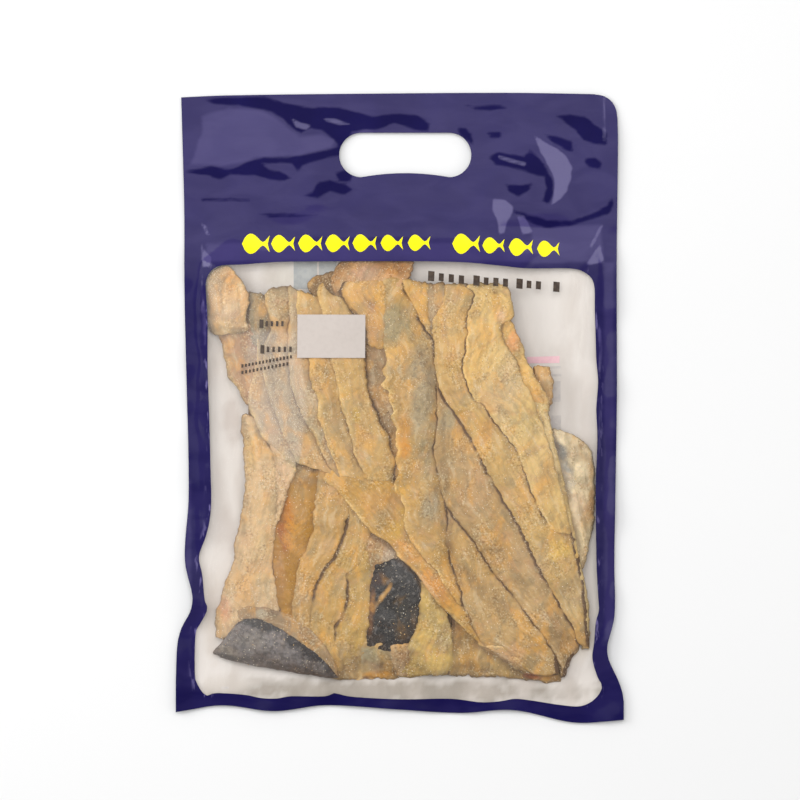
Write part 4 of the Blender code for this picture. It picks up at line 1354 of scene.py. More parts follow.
class Pile:
    """The fillets in the window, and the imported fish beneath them."""

    CELL = 0.68 * MM
    TOP_CLEARANCE = 1.2 * MM
    THICKNESS = 6.5 * MM
    THINNEST = 0.6 * MM
    FLOOR_GAP = 0.9 * MM
    RAGGED = 0.5 * MM
    BLUNT = 0.3
    TORN = ((0.9, 4 * MM, 8), (0.7, 1.6 * MM, 9))
    TORN_REACH = 2.5 * MM
    SINK_REACH = 9 * MM
    CROWN = 0.45 * MM
    LUMP = 0.7 * MM
    GRAIN = 0.2 * MM
    RIM_REACH = 1.4 * MM
    PATCHY = ((0.9, 6 * MM, 17), (0.5, 2.2 * MM, 18))
    BROKEN = ((0.7, 9 * MM, 15), (0.5, 3 * MM, 16))
    END_SHADE = 0.12
    END_WIDTH = 0.5 * MM
    SHADE_REACH = 2.0
    SHADE_WAVE = (0.06, 14 * MM, 21)
    HUE_SIZE = 22 * MM
    HUE_SHIFT = (0.02, 0.0, -0.08)
    CLUMPS = (1.4, 9 * MM, 41)
    DARKEST = 0.95
    SHARP = math.radians(70)
    SEEDS = 100
    BED_DEPTH = 7.0 * MM
    BED_INSET = 4.0 * MM
    BED_STRIDE = 2
    BED_COLOUR = (150, 112, 68)
    STEP_FREE = 0.55 * MM
    STEP_FULL = 2.4 * MM
    STEP_SHADE = 0.6
    GAIN = (0.86, 0.81, 0.69)

    def __init__(self, form: PouchForm) -> None:
        """Takes the heights that the fillets fill.

        Args:
            form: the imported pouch.
        """
        self.form = form
        self.dome = form.front.blurred(9 * MM)
        self.tops = Field(form.low, form.high, -1.0)
        self.pieces: list[bpy.types.Object] = []

    def _edges(self, fillet: Fillet) -> tuple[np.ndarray, np.ndarray]:
        """Returns a fillet's two edges as lines of equally many points.

        Args:
            fillet: the fillet.

        Returns:
            The left and the right edge, ragged and with their tucks.
        """
        left, right = Photo.at(fillet.left), Photo.at(fillet.right)
        count = max(8, math.ceil(max(line_length(left), line_length(right)) / self.CELL))
        left, right = smooth_line(left, count), smooth_line(right, count)
        edges = []
        for line, way, tuck in ((left, -1, fillet.tuck[0]), (right, 1, fillet.tuck[1])):
            across = right - left
            across /= np.maximum(np.hypot(*across.T), 1e-6)[:, None]
            shift = waves(*line.T, 0.0, (self.RAGGED, 3.4 * MM, 5), (0.8 * self.RAGGED, 1.5 * MM, 6))
            edges.append(line + across * (way * tuck * MM + shift)[:, None])
        return edges[0], edges[1]

    def _strip(self, fillet: Fillet) -> Strip:
        """Lays a fillet's net between its edges, narrower and ragged at its ends.

        Args:
            fillet: the fillet.

        Returns:
            The net with its widths and distances.
        """
        left, right = self._edges(fillet)
        width = np.hypot(*(right - left).T)
        shares = np.linspace(0, 1, max(6, math.ceil(np.percentile(width, 90) / self.CELL)) + 1)
        middle = (left + right) / 2
        run = np.concatenate(([0], np.cumsum(np.hypot(*np.diff(middle, axis=0).T))))
        to_end = np.minimum(run, run[-1] - run)
        pinch = np.sqrt(1 - (1 - np.clip(self.BLUNT + to_end / fillet.end, 0, 1)) ** 2)
        spread = (shares[None, :] - 0.5) * pinch[:, None]
        net = middle[:, None] + (right - left)[:, None] * spread[..., None]
        ahead = np.gradient(middle, axis=0)
        ahead /= np.maximum(np.hypot(*ahead.T), 1e-9)[:, None]
        torn = waves(net[..., 0], net[..., 1], 0.0, *self.TORN)
        net = net + ahead[:, None] * (torn * MM * np.exp(-to_end / self.TORN_REACH)[:, None])[..., None]
        return Strip(net, shares, width, pinch, run)

    def _heights(self, fillet: Fillet, strip: Strip, seed: int) -> tuple[np.ndarray, np.ndarray]:
        """Returns the heights of a fillet's top and of its underside.

        Args:
            fillet: its level, shoulders and tilt.
            strip: its net.
            seed: picks its lumps.

        Returns:
            Both heights at each point of the net.
        """
        x, y = strip.places
        shares, run = strip.shares, strip.run
        side = np.minimum(shares, 1 - shares)[None, :] * (strip.width * strip.pinch)[:, None]
        inward = np.clip(np.minimum(side, strip.from_end) / fillet.shoulder, 0, 1)
        fall = fillet.drop * (1 - np.sqrt(1 - (1 - inward) ** 2))
        level = self.dome.at(x, y) - self.TOP_CLEARANCE - fillet.level.value + fillet.lift
        level = level - fillet.sink * MM * np.exp(-(((run[-1] - run) / self.SINK_REACH) ** 2))[:, None]
        crown = self.CROWN * np.sin(np.pi * shares)[None, :] + fillet.tilt * MM * (1 - 2 * shares)[None, :]
        lumps = waves(x, y, 0.0, (self.LUMP, 9 * MM, 101), (0.3 * self.LUMP, 4 * MM, seed + 1))
        lumps += self.GRAIN * (rough(x, y, 1.7 * MM, seed + 2) + np.abs(rough(x, y, 2.6 * MM, seed + 3)))
        under = np.maximum(self.form.back.at(x, y) + self.FLOOR_GAP, level - self.THICKNESS)
        return np.maximum(level + crown + lumps - fall, under + self.THINNEST), under

    def _lines(self, fillet: Fillet, strip: Strip) -> tuple[np.ndarray, np.ndarray]:
        """Returns the painted highlight on the rims and the painted shade of the cracks, ends and soft shadows at
        each point of the net.

        Args:
            fillet: its painted rim highlights, painted shade lines and painted soft shadows.
            strip: its net.

        Returns:
            The painted rim highlight and the painted shade, from 0 to 1.
        """
        x, y = strip.places
        rim = sum(np.exp(-way / self.RIM_REACH) * bright for way, bright in zip(strip.from_sides, fillet.rim))
        rim = np.clip(rim * np.clip(waves(x, y, 0.75, *self.PATCHY), 0, 1.5), 0, 1)
        # painted shade lines at the ends, along the edges and beside the tucked parts, with painted soft shadow
        line = self.END_SHADE * np.exp(-strip.from_end / self.END_WIDTH)
        for way, crack_shade, shade, tuck in zip(strip.from_sides, fillet.crack_shade, fillet.shade, fillet.tuck):
            reach = np.maximum(way - tuck * MM, 0) / MM
            line = line + crack_shade * np.exp(-((reach / fillet.line) ** 2)) + shade * np.exp(-reach / self.SHADE_REACH)
        return rim, np.clip(line * np.clip(waves(x, y, 0.85, *self.BROKEN), 0.15, 1.3), 0, self.DARKEST)

    def _keep(self, piece: bpy.types.Object, finish: bpy.types.Material) -> None:
        """Gives a finished piece its material and keeps it.

        Args:
            piece: the piece.
            finish: its material.
        """
        piece.data.materials.append(finish)
        self.pieces.append(piece)
        note(piece)

    def build_fillet(self, fillet: Fillet, seed: int, finish: bpy.types.Material) -> None:
        """Makes one fillet as a closed piece.

        Args:
            fillet: its edges, colour and level.
            seed: picks its lumps.
            finish: its material.
        """
        strip = self._strip(fillet)
        high, under = self._heights(fillet, strip, seed)
        order = strip.net[::-1]
        piece, index = SolidBuilder.shell(fillet.name, order, high[::-1], under[::-1])
        x, y = order.reshape(-1, 2)[index].T
        tint, skin = stained(x, y, fillet.colour, fillet.name, fillet.skin)
        tint = tint * waves(x, y, 1.0, self.SHADE_WAVE)[:, None]
        tint = tint * (1 + np.outer(rough(x, y, self.HUE_SIZE, 22), self.HUE_SHIFT)) * self.GAIN
        rim, dark = (values[::-1].reshape(-1)[index] for values in self._lines(fillet, strip))
        top = np.arange(len(index)) < len(index) // 2
        # painted shade: the walls and underside are darkened by the strongest shade line
        depth = np.where(top, dark, np.clip(0.25 + 0.5 * max(fillet.crack_shade), 0, 1))
        clumps = np.clip(waves(x, y, 0.5, self.CLUMPS), 0, 1.5)
        salt = np.where(top & (depth < 0.5), clumps * (1 - 0.3 * skin), 0.0)
        off_middle = np.abs(strip.shares - 0.5)[None, :] * strip.width[:, None]
        along = np.broadcast_to(strip.run[:, None] + seed * 10 * MM, off_middle.shape)
        grain = np.stack((strip.from_sides[0], along, off_middle), -1)[::-1].reshape(-1, 3)[index]
        layers = {"depth": depth, "tint": tint, "skin": skin, "rim": rim, "salt": salt, "grain": grain}
        SolidBuilder.store(piece, layers)
        piece.data.set_sharp_from_angle(angle=self.SHARP)
        self.tops.raise_to(*(values.reshape(-1) for values in (*strip.places, high)))
        self._keep(piece, finish)

    def build_bed(self, finish: bpy.types.Material) -> None:
        """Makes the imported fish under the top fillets.

        Args:
            finish: its material.
        """
        filled = self.tops.copy((self.tops.values > -0.5).astype(float)).crowned(3 * MM)
        inner = filled.copy(1 - filled.values).crowned(3 * MM + self.BED_INSET)
        soft = filled.copy((inner.values < 0.5).astype(float)).blurred(3 * MM).values
        step = self.BED_STRIDE
        hole = soft[::step, ::step] - 0.5
        hole = np.where(np.abs(hole) < 0.06, 0.0, hole)
        x, y = (grid[::step, ::step].T for grid in filled.places())
        ridges = np.abs(np.sin((x + 0.35 * y) / (9 * MM)))
        z = self.dome.at(x, y) - self.TOP_CLEARANCE - self.BED_DEPTH
        z += 1.2 * MM * ridges + 0.8 * MM * rough(x, y, 6 * MM, 71)
        floor = self.form.back.at(x, y) + self.FLOOR_GAP
        net = np.stack((x, y), -1)
        piece, index = SolidBuilder.shell("packed_under", net, np.maximum(z, floor + 0.8 * MM), floor, hole.T)
        nought = np.zeros(len(index))
        tint = np.tile(np.array(linear(self.BED_COLOUR)), (len(index), 1)) * self.GAIN
        grain = np.column_stack((net.reshape(-1, 2)[index], nought))
        # painted shade: the bed is darkened halfway towards the dark brown of the cracks
        layers = {"tint": tint, "skin": nought, "rim": nought, "depth": nought + 0.5, "salt": nought, "grain": grain}
        SolidBuilder.store(piece, layers)
        self._keep(piece, finish)

    def _shade_steps(self) -> None:
        """Paints shade on what lies beside a higher piece."""
        near = self.tops.crowned(1 * MM).blurred(1 * MM)
        for piece in self.pieces:
            count = len(piece.data.vertices)
            places, depth = np.empty(count * 3, dtype=np.float32), np.empty(count, dtype=np.float32)
            piece.data.vertices.foreach_get("co", places)
            x, y, z = places.astype(float).reshape(-1, 3).T
            layer = piece.data.attributes["depth"]
            layer.data.foreach_get("value", depth)
            step = np.clip((near.at(x, y) - z - self.STEP_FREE) / self.STEP_FULL, 0, self.STEP_SHADE)
            layer.data.foreach_set("value", np.maximum(depth, step.astype(np.float32)))

    def build(self, finish: bpy.types.Material) -> None:
        """Makes every fillet, lowest first, then the bed."""
        for number, fillet in enumerate(FILLETS):
            self.build_fillet(fillet, self.SEEDS + 10 * number, finish)
        self._shade_steps()
        self.build_bed(finish)


# ---------------------------------------------------------------------------------- the bag
WINDOW: Pixels = (
    (211.6, 270.8), (220.7, 265.8), (241.5, 265), (267, 263), (293, 262), (400, 261.5), (461, 262.6), (499.5, 266),
    (527, 268.7), (570, 268.7), (585, 273), (593.6, 283.6), (594.5, 310), (595.3, 334.9), (596, 359.8), (597.8, 382),
    (596, 409.5), (597, 440), (595.3, 488), (596, 560), (597.8, 597), (598.6, 609.8), (595.3, 622), (593.7, 643),
    (592, 657.8), (597, 676), (602, 687), (594.4, 699), (580.6, 706), (560.7, 704.8), (533, 700.5), (515, 698.5),
    (500, 701), (480, 702), (450, 698.5), (400, 699), (352, 696.4), (334, 692.6), (325, 696), (290.4, 696),
    (278, 698.2), (261, 697.8), (244.8, 694.5), (215.7, 692.8), (207.4, 695.7), (202.5, 692), (197.5, 683.7),
    (195, 673), (195.8, 634), (200, 624.5), (207.9, 609), (205, 599.5), (202.5, 574.6), (199.1, 556.4),
    (205.8, 537.3), (209.9, 520.7), (211.6, 500), (211, 473), (209.7, 419), (208, 366), (208, 320), (206.2, 283),
)


# painted reflection patches on the film's ink: where the painted reflection is taken away, where it is raised, and
# where it is strongest
PAINTED_DARK_PATCHES: tuple[Pixels, ...] = (
    ((201, 99), (225, 97), (264, 97), (284, 103), (310, 107), (339, 108), (360, 112), (372, 117), (400, 114),
     (418, 116), (430, 124), (428, 131), (415, 130), (395, 124), (376, 130), (352, 131), (348, 140), (352, 152),
     (340, 151), (335, 140), (322, 131), (310, 128), (301, 133), (292, 127), (283, 118), (270, 112), (240, 106),
     (215, 104)),
    ((186, 172), (200, 169), (212, 166), (230, 169), (245, 163), (258, 159), (275, 158), (300, 157), (320, 152),
     (336, 147), (346, 140), (352, 150), (338, 156), (318, 160), (303, 165), (298, 172), (292, 164), (275, 163),
     (262, 164), (268, 170), (280, 172), (293, 178), (285, 181), (270, 180), (255, 176), (244, 176), (232, 175),
     (220, 180), (206, 176)),
    ((344, 171), (352, 175), (351, 182), (340, 181), (335, 173)),
    ((302, 197), (312, 192), (318, 182), (330, 181), (345, 185), (352, 190), (345, 194), (330, 192), (318, 198)),
    ((457, 127), (466, 128), (472, 134), (473, 145), (466, 140), (459, 135)),
    ((487, 158), (498, 152), (510, 155), (524, 156), (530, 150), (540, 158), (547, 170), (549, 178), (538, 176),
     (525, 171), (510, 168), (496, 165)),
    ((505, 185), (520, 185), (532, 184), (527, 192), (518, 197), (509, 192)),
    ((538, 160), (548, 172), (553, 182), (553, 196), (548, 205), (542, 201), (546, 188), (544, 176)),
    ((543, 134), (560, 138), (572, 142), (573, 153), (565, 150), (553, 143)),
    ((556, 116), (572, 115), (586, 116), (594, 124), (606, 134), (607, 145), (596, 144), (584, 140), (575, 130)),
    ((585, 158), (595, 158), (602, 163), (600, 169), (590, 168), (584, 163)),
    ((513, 211), (530, 216), (548, 221), (570, 221), (590, 214), (607, 206), (612, 196), (614, 204), (608, 214),
     (592, 220), (570, 226), (550, 228), (535, 224), (520, 217)),
    ((202, 199), (250, 199), (250, 201.4), (202, 201)),
    ((258, 214), (300, 214), (318, 215), (300, 217), (270, 217.5)),
    ((464, 105), (480, 106), (500, 105), (507, 108), (490, 111), (475, 110)),
    ((486, 133), (500, 133), (502, 138), (490, 138)),
)
MILKY: Pixels = (
    (252, 330), (297, 333), (303, 365), (306, 400), (307, 425), (303, 440), (297, 464), (280, 452), (262, 436),
    (250, 405), (246, 365),
)
PAINTED_LIT_PATCHES: tuple[Pixels, ...] = (
    ((201, 116), (230, 108), (262, 110), (275, 118), (290, 130), (300, 136), (322, 134), (335, 140), (332, 148),
     (318, 151), (300, 155), (275, 157), (256, 158), (240, 165), (222, 167), (205, 165), (190, 165), (203, 130)),
    ((531, 228), (600, 224), (604, 262), (531, 264)),
    ((206, 243), (602, 243), (602, 262), (206, 262)),
    ((603, 262), (614, 262), (614, 640), (604, 640)),
    ((185, 480), (191, 480), (192, 600), (186, 600)),
    ((352, 126), (366, 122), (374, 134), (360, 134)),
)
PAINTED_BRIGHT_PATCHES: tuple[Pixels, ...] = (
    ((533, 134), (545, 142), (556, 148), (566, 156), (572, 168), (571, 180), (566, 192), (560, 200), (551, 206),
     (554, 190), (554, 178), (549, 168), (540, 152)),
    ((492, 198), (505, 200), (513, 206), (512, 214), (507, 222), (504, 233), (499, 235), (497, 222), (492, 210)),
    ((497, 155), (508, 158), (527, 163), (524, 166.5), (510, 163), (499, 159)),
    ((291, 118), (300, 123), (311, 126), (306, 130), (296, 127)),
    ((322, 118), (335, 118.5), (350, 124), (340, 125.5), (326, 122)),
    ((601, 224), (603.5, 225), (592, 247), (589.5, 247)),
    ((600, 245), (604, 262), (592, 265), (585, 265)),
    ((517, 215), (524, 216), (533, 233), (522, 235)),
    ((201, 223), (206, 226), (210, 235), (206, 235)),
    ((201, 243), (206, 252), (211, 258), (211, 267), (203, 267)),
    ((603, 98), (605, 98), (605, 141), (603, 141)),
    ((597, 318), (601, 330), (602, 350), (600, 372), (598.5, 372), (599.5, 350), (597, 335)),
    ((599.5, 395), (601, 400), (600.5, 430), (599, 470), (598.5, 430)),
    ((202, 280), (205, 300), (206.5, 345), (204.5, 345), (202, 310)),
)


@dataclass
class Bag:
    """The sealed film: its front with the window, its back and the white inside of that."""

    form: PouchForm
    columns: int = 172
    rows: int = 242
    outline_cells: tuple[int, int] = (40, 60)
    slot_centre: tuple[float, float] = (3.0 * MM, 139.0 * MM)
    slot_length: float = 72.6 * MM
    slot_height: float = 24.4 * MM
    slot_bow: float = 2.2 * MM
    seal: float = 9.0 * MM
    slot_reach: float = 0.78 * MM
    slot_passes: int = 4
    slope_step: float = 0.05 * MM
    header_start: float = 82.0 * MM
    header_blend: float = 12.0 * MM
    zip_place: float = 107.0 * MM
    zip_reach: float = 10.0 * MM
    zip_height: float = 0.03 * MM
    cling: float = 0.35 * MM
    span: float = 2.5 * MM
    slack: float = 0.6
    pulls: int = 700
    least_gap: float = 0.9 * MM
    # levels of the painted reflection on the ink, which also set the coat's gloss
    header_painted_sheen_and_gloss: float = 0.31
    border_painted_sheen_and_gloss: float = 0.12
    glint_reach: float = 3.5 * MM
    glint_area: tuple[float, float] = (103.0 * MM, 95.0 * MM)
    milky_patch: float = 0.11
    milky_side: float = 0.07
    milky_least: float = 0.01
    milky_fade: tuple[float, float] = (105.0 * MM, 60.0 * MM)
    header_fade: tuple[float, float] = (70.0 * MM, 14.0 * MM)
    foot_fade: tuple[float, float] = (140.0 * MM, 20.0 * MM)
    foot_painted_sheen_cut: float = 0.85
    far_outside: float = -20.0
    sharp: float = math.radians(50)
    lining_lift: float = 0.45 * MM
    white: Colour = (222, 216, 211)
    film: bpy.types.Object | None = None
    lining: bpy.types.Object | None = None
    window: np.ndarray = field(default_factory=lambda: np.zeros((0, 2)))

    def __post_init__(self) -> None:
        """Runs a smooth line round the window."""
        edge = Photo.at(WINDOW)
        self.window = smooth_line(np.vstack((edge, edge[:1])), 320)[:-1]

    def outside_slot(self, points: np.ndarray) -> np.ndarray:
        """Measures how far points lie outside the handle slot.

        Args:
            points: places (x, y).

        Returns:
            Distances, negative inside the slot.
        """
        dx, dy = points[..., 0] - self.slot_centre[0], points[..., 1] - self.slot_centre[1]
        radius = self.slot_height / 2
        straight = self.slot_length / 2 - radius
        bow = self.slot_bow * np.clip(1 - (dx / straight) ** 2, 0, 1) * (dy < 0)
        past = np.maximum(np.abs(dx) - straight, 0)
        return np.hypot(past, dy) - radius + bow

    def _snap_slot(self, net: np.ndarray) -> np.ndarray:
        """Moves the net's points near the slot onto its edge and returns their distances to it.

        Args:
            net: points (x, y), changed in place.

        Returns:
            How far each point lies outside the slot.
        """
        near = np.abs(self.outside_slot(net)) < self.slot_reach
        step = self.slope_step
        for _ in range(self.slot_passes):
            slope_x, slope_y = (
                (self.outside_slot(net + way) - self.outside_slot(net - way)) / (2 * step)
                for way in (np.array((step, 0)), np.array((0, step)))
            )
            size = np.maximum(slope_x**2 + slope_y**2, 1e-6)
            away = self.outside_slot(net)
            net[..., 0] -= np.where(near, away * slope_x / size, 0)
            net[..., 1] -= np.where(near, away * slope_y / size, 0)
        return np.where(near, 0.0, self.outside_slot(net))

    def _level_header(self, front: Field) -> Field:
        """Takes the solid's coarse press-to-close ridge out of the front's heights.

        Args:
            front: the front's heights.

        Returns:
            The heights without the ridge.
        """
        rows = front.places()[1][0]
        first, last = np.searchsorted(rows, (self.zip_place - self.zip_reach, self.zip_place + self.zip_reach))
        share = np.linspace(0, 1, last - first)
        values = front.values.copy()
        values[:, first:last] = values[:, [first]] * (1 - share) + values[:, [last]] * share
        return front.copy(values)

    def _header_wave(self, x: np.ndarray, y: np.ndarray) -> tuple[np.ndarray, np.ndarray]:
        """Returns the share of the header at each place, and its wide waves.

        Args:
            x: places across.
            y: places along.

        Returns:
            The share from 0 to 1, and the waves' heights.
        """
        share = np.clip((y - self.header_start) / self.header_blend, 0, 1)
        return share, 0.4 * MM * rough(x * 0.45, y, 14 * MM, 61)

    def drape(self, tops: Field) -> Field:
        """Pulls the front film tight over the fish.

        Args:
            tops: the heights of the fish, below 0 where there is none.

        Returns:
            The height of the film.
        """
        flat = self._level_header(self.form.front)
        x, y = flat.places()
        net = self.form.net(*self.outline_cells)
        corners = np.vstack((net[0], net[:, -1], net[-1][::-1], net[:, 0][::-1]))
        inward = inside_by(np.stack((x, y), -1).reshape(-1, 2), corners).reshape(x.shape)
        free = (inward > self.seal) & (y < self.header_start)
        held = tops.copy(np.maximum(tops.values, 0)).crowned(self.span).blurred(self.span)
        obstacle = held.values + self.cling
        height = np.where(free, np.maximum(flat.values * self.slack, obstacle), flat.values)
        base = self.form.back.values + 1.0 * MM
        for _ in range(self.pulls):
            mean = sum(np.roll(height, way, axis) for axis in (0, 1) for way in (1, -1)) / 4
            height = np.where(free, np.maximum(np.maximum(mean, obstacle), base), flat.values)
        fold = np.abs(rough(x, y * 0.45, 13 * MM, 51)) * 0.8 * MM + np.abs(rough(x, y, 7 * MM, 52)) * 0.2 * MM
        margin = np.clip((height - obstacle) / (2 * MM), 0, 1) * free
        height = height + fold * flat.copy(margin).blurred(3 * MM).values
        header, wave = self._header_wave(x, y)
        crease = wave + 0.1 * MM * rough(x * 0.7, y, 8 * MM, 62)
        ridge = self.zip_height * np.exp(-(((y - self.zip_place - 2 * MM * np.sin(x / 0.09)) / (1.1 * MM)) ** 2))
        ridge += 0.4 * self.zip_height * np.exp(-(((y - self.zip_place - 5.5 * MM) / (0.8 * MM)) ** 2))
        height = height + header * crease + ridge * (inward > 4 * MM)
        return flat.copy(height).blurred(1 * MM)

    def _film_layers(self, flat: np.ndarray) -> dict[str, np.ndarray]:
        """Gives what the film's finish needs: where it is clear, where painted glints lie, where painted reflection
        is taken away, raised and strongest, how strong its painted reflection and gloss are, and where it is milky.

        Args:
            flat: the places (x, y) of the film's points.

        Returns:
            A value for each point, by name.
        """
        across, along = flat.T
        distance = inside_by(flat, self.window)
        inner, upper = self.glint_area
        # painted glints on the ink along the window's sides, below the header
        beside = np.clip(1 + distance / self.glint_reach, 0, 1) * (along < upper) * (np.abs(across) > inner)
        layers = {"window": distance / MM, "scuff": beside * (distance < 0)}
        # painted reflection patches: taken away, raised and strongest
        for name, outlines in (("dull", PAINTED_DARK_PATCHES), ("lit", PAINTED_LIT_PATCHES), ("bright", PAINTED_BRIGHT_PATCHES)):
            reaches = [inside_by(flat, Photo.at(outline)) / MM for outline in outlines]
            layers[name] = np.maximum.reduce([np.full(len(flat), self.far_outside), *reaches])
        # painted reflection is strongest on the header and weakest at the foot
        height_share = np.clip((along - self.header_fade[0]) / self.header_fade[1], 0, 1)
        foot = 1 - self.foot_painted_sheen_cut * np.clip((-along - self.foot_fade[0]) / self.foot_fade[1], 0, 1)
        layers["sheen"] = self.border_painted_sheen_and_gloss * foot + (self.header_painted_sheen_and_gloss - self.border_painted_sheen_and_gloss) * height_share
        side = np.clip(1.0 - (across + self.milky_fade[0]) / self.milky_fade[1], 0, 1)
        veil = self.milky_side * side + self.milky_least
        patch = np.clip(0.5 + inside_by(flat, Photo.at(MILKY)) / (3 * MM), 0, 1)
        return {**layers, "veil": veil + self.milky_patch * patch}

    def build_film(self, tops: Field, front: bpy.types.Material, back: bpy.types.Material) -> None:
        """Makes the sealed film as one closed piece.

        Args:
            tops: the heights of the fish.
            front: the material of the front.
            back: the material of the back.
        """
        height = self.drape(tops)
        net = self.form.net(self.columns, self.rows)
        away = self._snap_slot(net)
        x, y = net[..., 0], net[..., 1]
        header, wave = self._header_wave(x, y)
        low = np.maximum(self.form.back.at(x, y) + 0.2 * MM + header * wave, 0.05 * MM)
        high = np.maximum(height.at(x, y), low + self.least_gap)
        piece, index = SolidBuilder.shell("pouch_film", net, high, low, away)
        flat = net.reshape(-1, 2)[index]
        SolidBuilder.store(piece, self._film_layers(flat))
        piece.data.materials.append(front)
        piece.data.materials.append(back)
        material = np.ones(len(piece.data.polygons), dtype=np.int32)
        material[:piece["front_faces"]] = 0
        piece.data.polygons.foreach_set("material_index", material)
        piece.data.set_sharp_from_angle(angle=self.sharp)
        self.film = piece
        note(piece)

    def build_lining(self, finish: bpy.types.Material) -> None:
        """Makes the white inside of the back film.

        Args:
            finish: its material.
        """
        step = self.form.STRIDE
        grid = self.form.back
        x, y = (values[::step, ::step].T for values in grid.places())
        net = np.stack((x, y), -1)
        inside = inside_by(net.reshape(-1, 2), self.window).reshape(x.shape) + 4 * MM
        hole = np.where(np.abs(inside) < 1.0 * MM, 0.0, inside)
        low = grid.at(x, y) + self.lining_lift
        fold = 0.5 * MM * np.abs(rough(x, y * 0.4, 12 * MM, 81)) + 0.2 * MM * np.abs(rough(x, y * 0.6, 5 * MM, 82))
        piece, index = SolidBuilder.shell("back_lining", net, low + 0.25 * MM + fold, low + 0.05 * MM + fold, hole)
        flat = net.reshape(-1, 2)[index]
        # the lining's colour carries painted shade of its folds and foot
        SolidBuilder.store(piece, {"tint": stained(flat[:, 0], flat[:, 1], self.white, "back_lining")[0]})
        piece.data.materials.append(finish)
        self.lining = piece
        note(piece)


# ---------------------------------------------------------------------------------- geometry nodes
class NodeTree:
    """A Geometry Nodes tree with named inputs."""

    def __init__(self, name: str) -> None:
        """Makes a tree with a geometry input and output.

        Args:
            name: the tree's name.
        """
        self.tree = bpy.data.node_groups.new(name, "GeometryNodeTree")
        for way in ("INPUT", "OUTPUT"):
            self.tree.interface.new_socket("Geometry", in_out=way, socket_type="NodeSocketGeometry")
        self.sockets: dict[str, str] = {}
        self.entry = self.tree.nodes.new("NodeGroupInput")
        self.exit = self.tree.nodes.new("NodeGroupOutput")

    def inputs(self, kinds: dict[str, str]) -> list[bpy.types.NodeSocket]:
        """Adds inputs by name, each of a kind, and returns their sockets.

        Args:
            kinds: the kind of each input, by name.

        Returns:
            The sockets in that order.
        """
        for name, kind in kinds.items():
            made = self.tree.interface.new_socket(name, in_out="INPUT", socket_type="NodeSocket" + kind)
            self.sockets[name] = made.identifier
        return [next(s for s in self.entry.outputs if s.identifier == self.sockets[name]) for name in kinds]

    def node(self, kind: str, settings: dict[str, Any], sockets: dict[Any, Any], output: str = "") -> Any:
        """Adds a node as add_node does and returns its output."""
        return add_node(self.tree, kind, settings, sockets, output)

    def instances(self, points: Any, item: Any, sockets: dict[str, Any], material: bpy.types.Material) -> None:
        """Puts an object on points and ends the tree.

        Args:
            points: where the instances go.
            item: the input that holds the object.
            sockets: their scale and rotation.
            material: their material.
        """
        shape = self.node("GeometryNodeObjectInfo", {}, {"Object": item}, "Geometry")
        placed = self.node("GeometryNodeInstanceOnPoints", {}, {"Points": points, "Instance": shape, **sockets})
        self.close(placed, material)

    def close(self, geometry: Any, material: bpy.types.Material) -> None:
        """Ends the tree with Realize Instances and Set Material.

        Args:
            geometry: what the tree has made.
            material: its material.
        """
        real = self.node("GeometryNodeRealizeInstances", {}, {"Geometry": geometry})
        done = self.node("GeometryNodeSetMaterial", {}, {"Geometry": real, "Material": material})
        self.tree.links.new(done, self.exit.inputs[0])

    def run(self, name: str, base: bpy.types.Mesh, values: dict[str, Any]) -> bpy.types.Object:
        """Evaluates the tree on a mesh and keeps the result as a plain piece.

        Args:
            name: the piece's name.
            base: the mesh that the tree starts from.
            values: a value for each named input.

        Returns:
            The piece.
        """
        carrier = linked(name + "_carrier", base)
        modifier = carrier.modifiers.new("nodes", "NODES")
        modifier.node_group = self.tree
        for key, value in values.items():
            modifier[self.sockets[key]] = value
        graph = bpy.context.evaluated_depsgraph_get()
        mesh = bpy.data.meshes.new_from_object(carrier.evaluated_get(graph), depsgraph=graph)
        mesh.name = name
        bpy.data.objects.remove(carrier)
        return linked(name, mesh)


class Marks(NodeTree):
    """Marks of one shape in a row, the first of them larger."""

    def __init__(self, name: str, material: bpy.types.Material) -> None:
        """Builds the tree.

        Args:
            name: the tree's name.
            material: the marks' material.
        """
        super().__init__(name)
        kinds = {"Count": "Int", "Start": "Vector", "Step": "Vector", "Mark": "Object"}
        kinds |= {"First Size": "Float", "Spread": "Float", "Seed": "Int"}
        count, start, step, mark, first, spread, seed = self.inputs(kinds)
        sockets = {"Count": count, "Start Location": start, "Offset": step}
        line = self.node("GeometryNodeMeshLine", {"mode": "OFFSET"}, sockets)
        index = self.node("GeometryNodeInputIndex", {}, {})
        is_first = self.node("FunctionNodeCompare", {"data_type": "INT", "operation": "EQUAL"}, {"A": index, "B": 0})
        low = self.node("ShaderNodeMath", {"operation": "SUBTRACT"}, {0: 1.0, 1: spread})
        size = self.node("FunctionNodeRandomValue", {"data_type": "FLOAT"}, {"Min": low, "Max": 1.0, "Seed": seed})
        sockets = {"Switch": is_first, "False": size, "True": first}
        scale = self.node("GeometryNodeSwitch", {"input_type": "FLOAT"}, sockets)
        vector = self.node("ShaderNodeCombineXYZ", {}, {"X": scale, "Y": scale, "Z": 1.0})
        self.instances(line, mark, {"Scale": vector}, material)


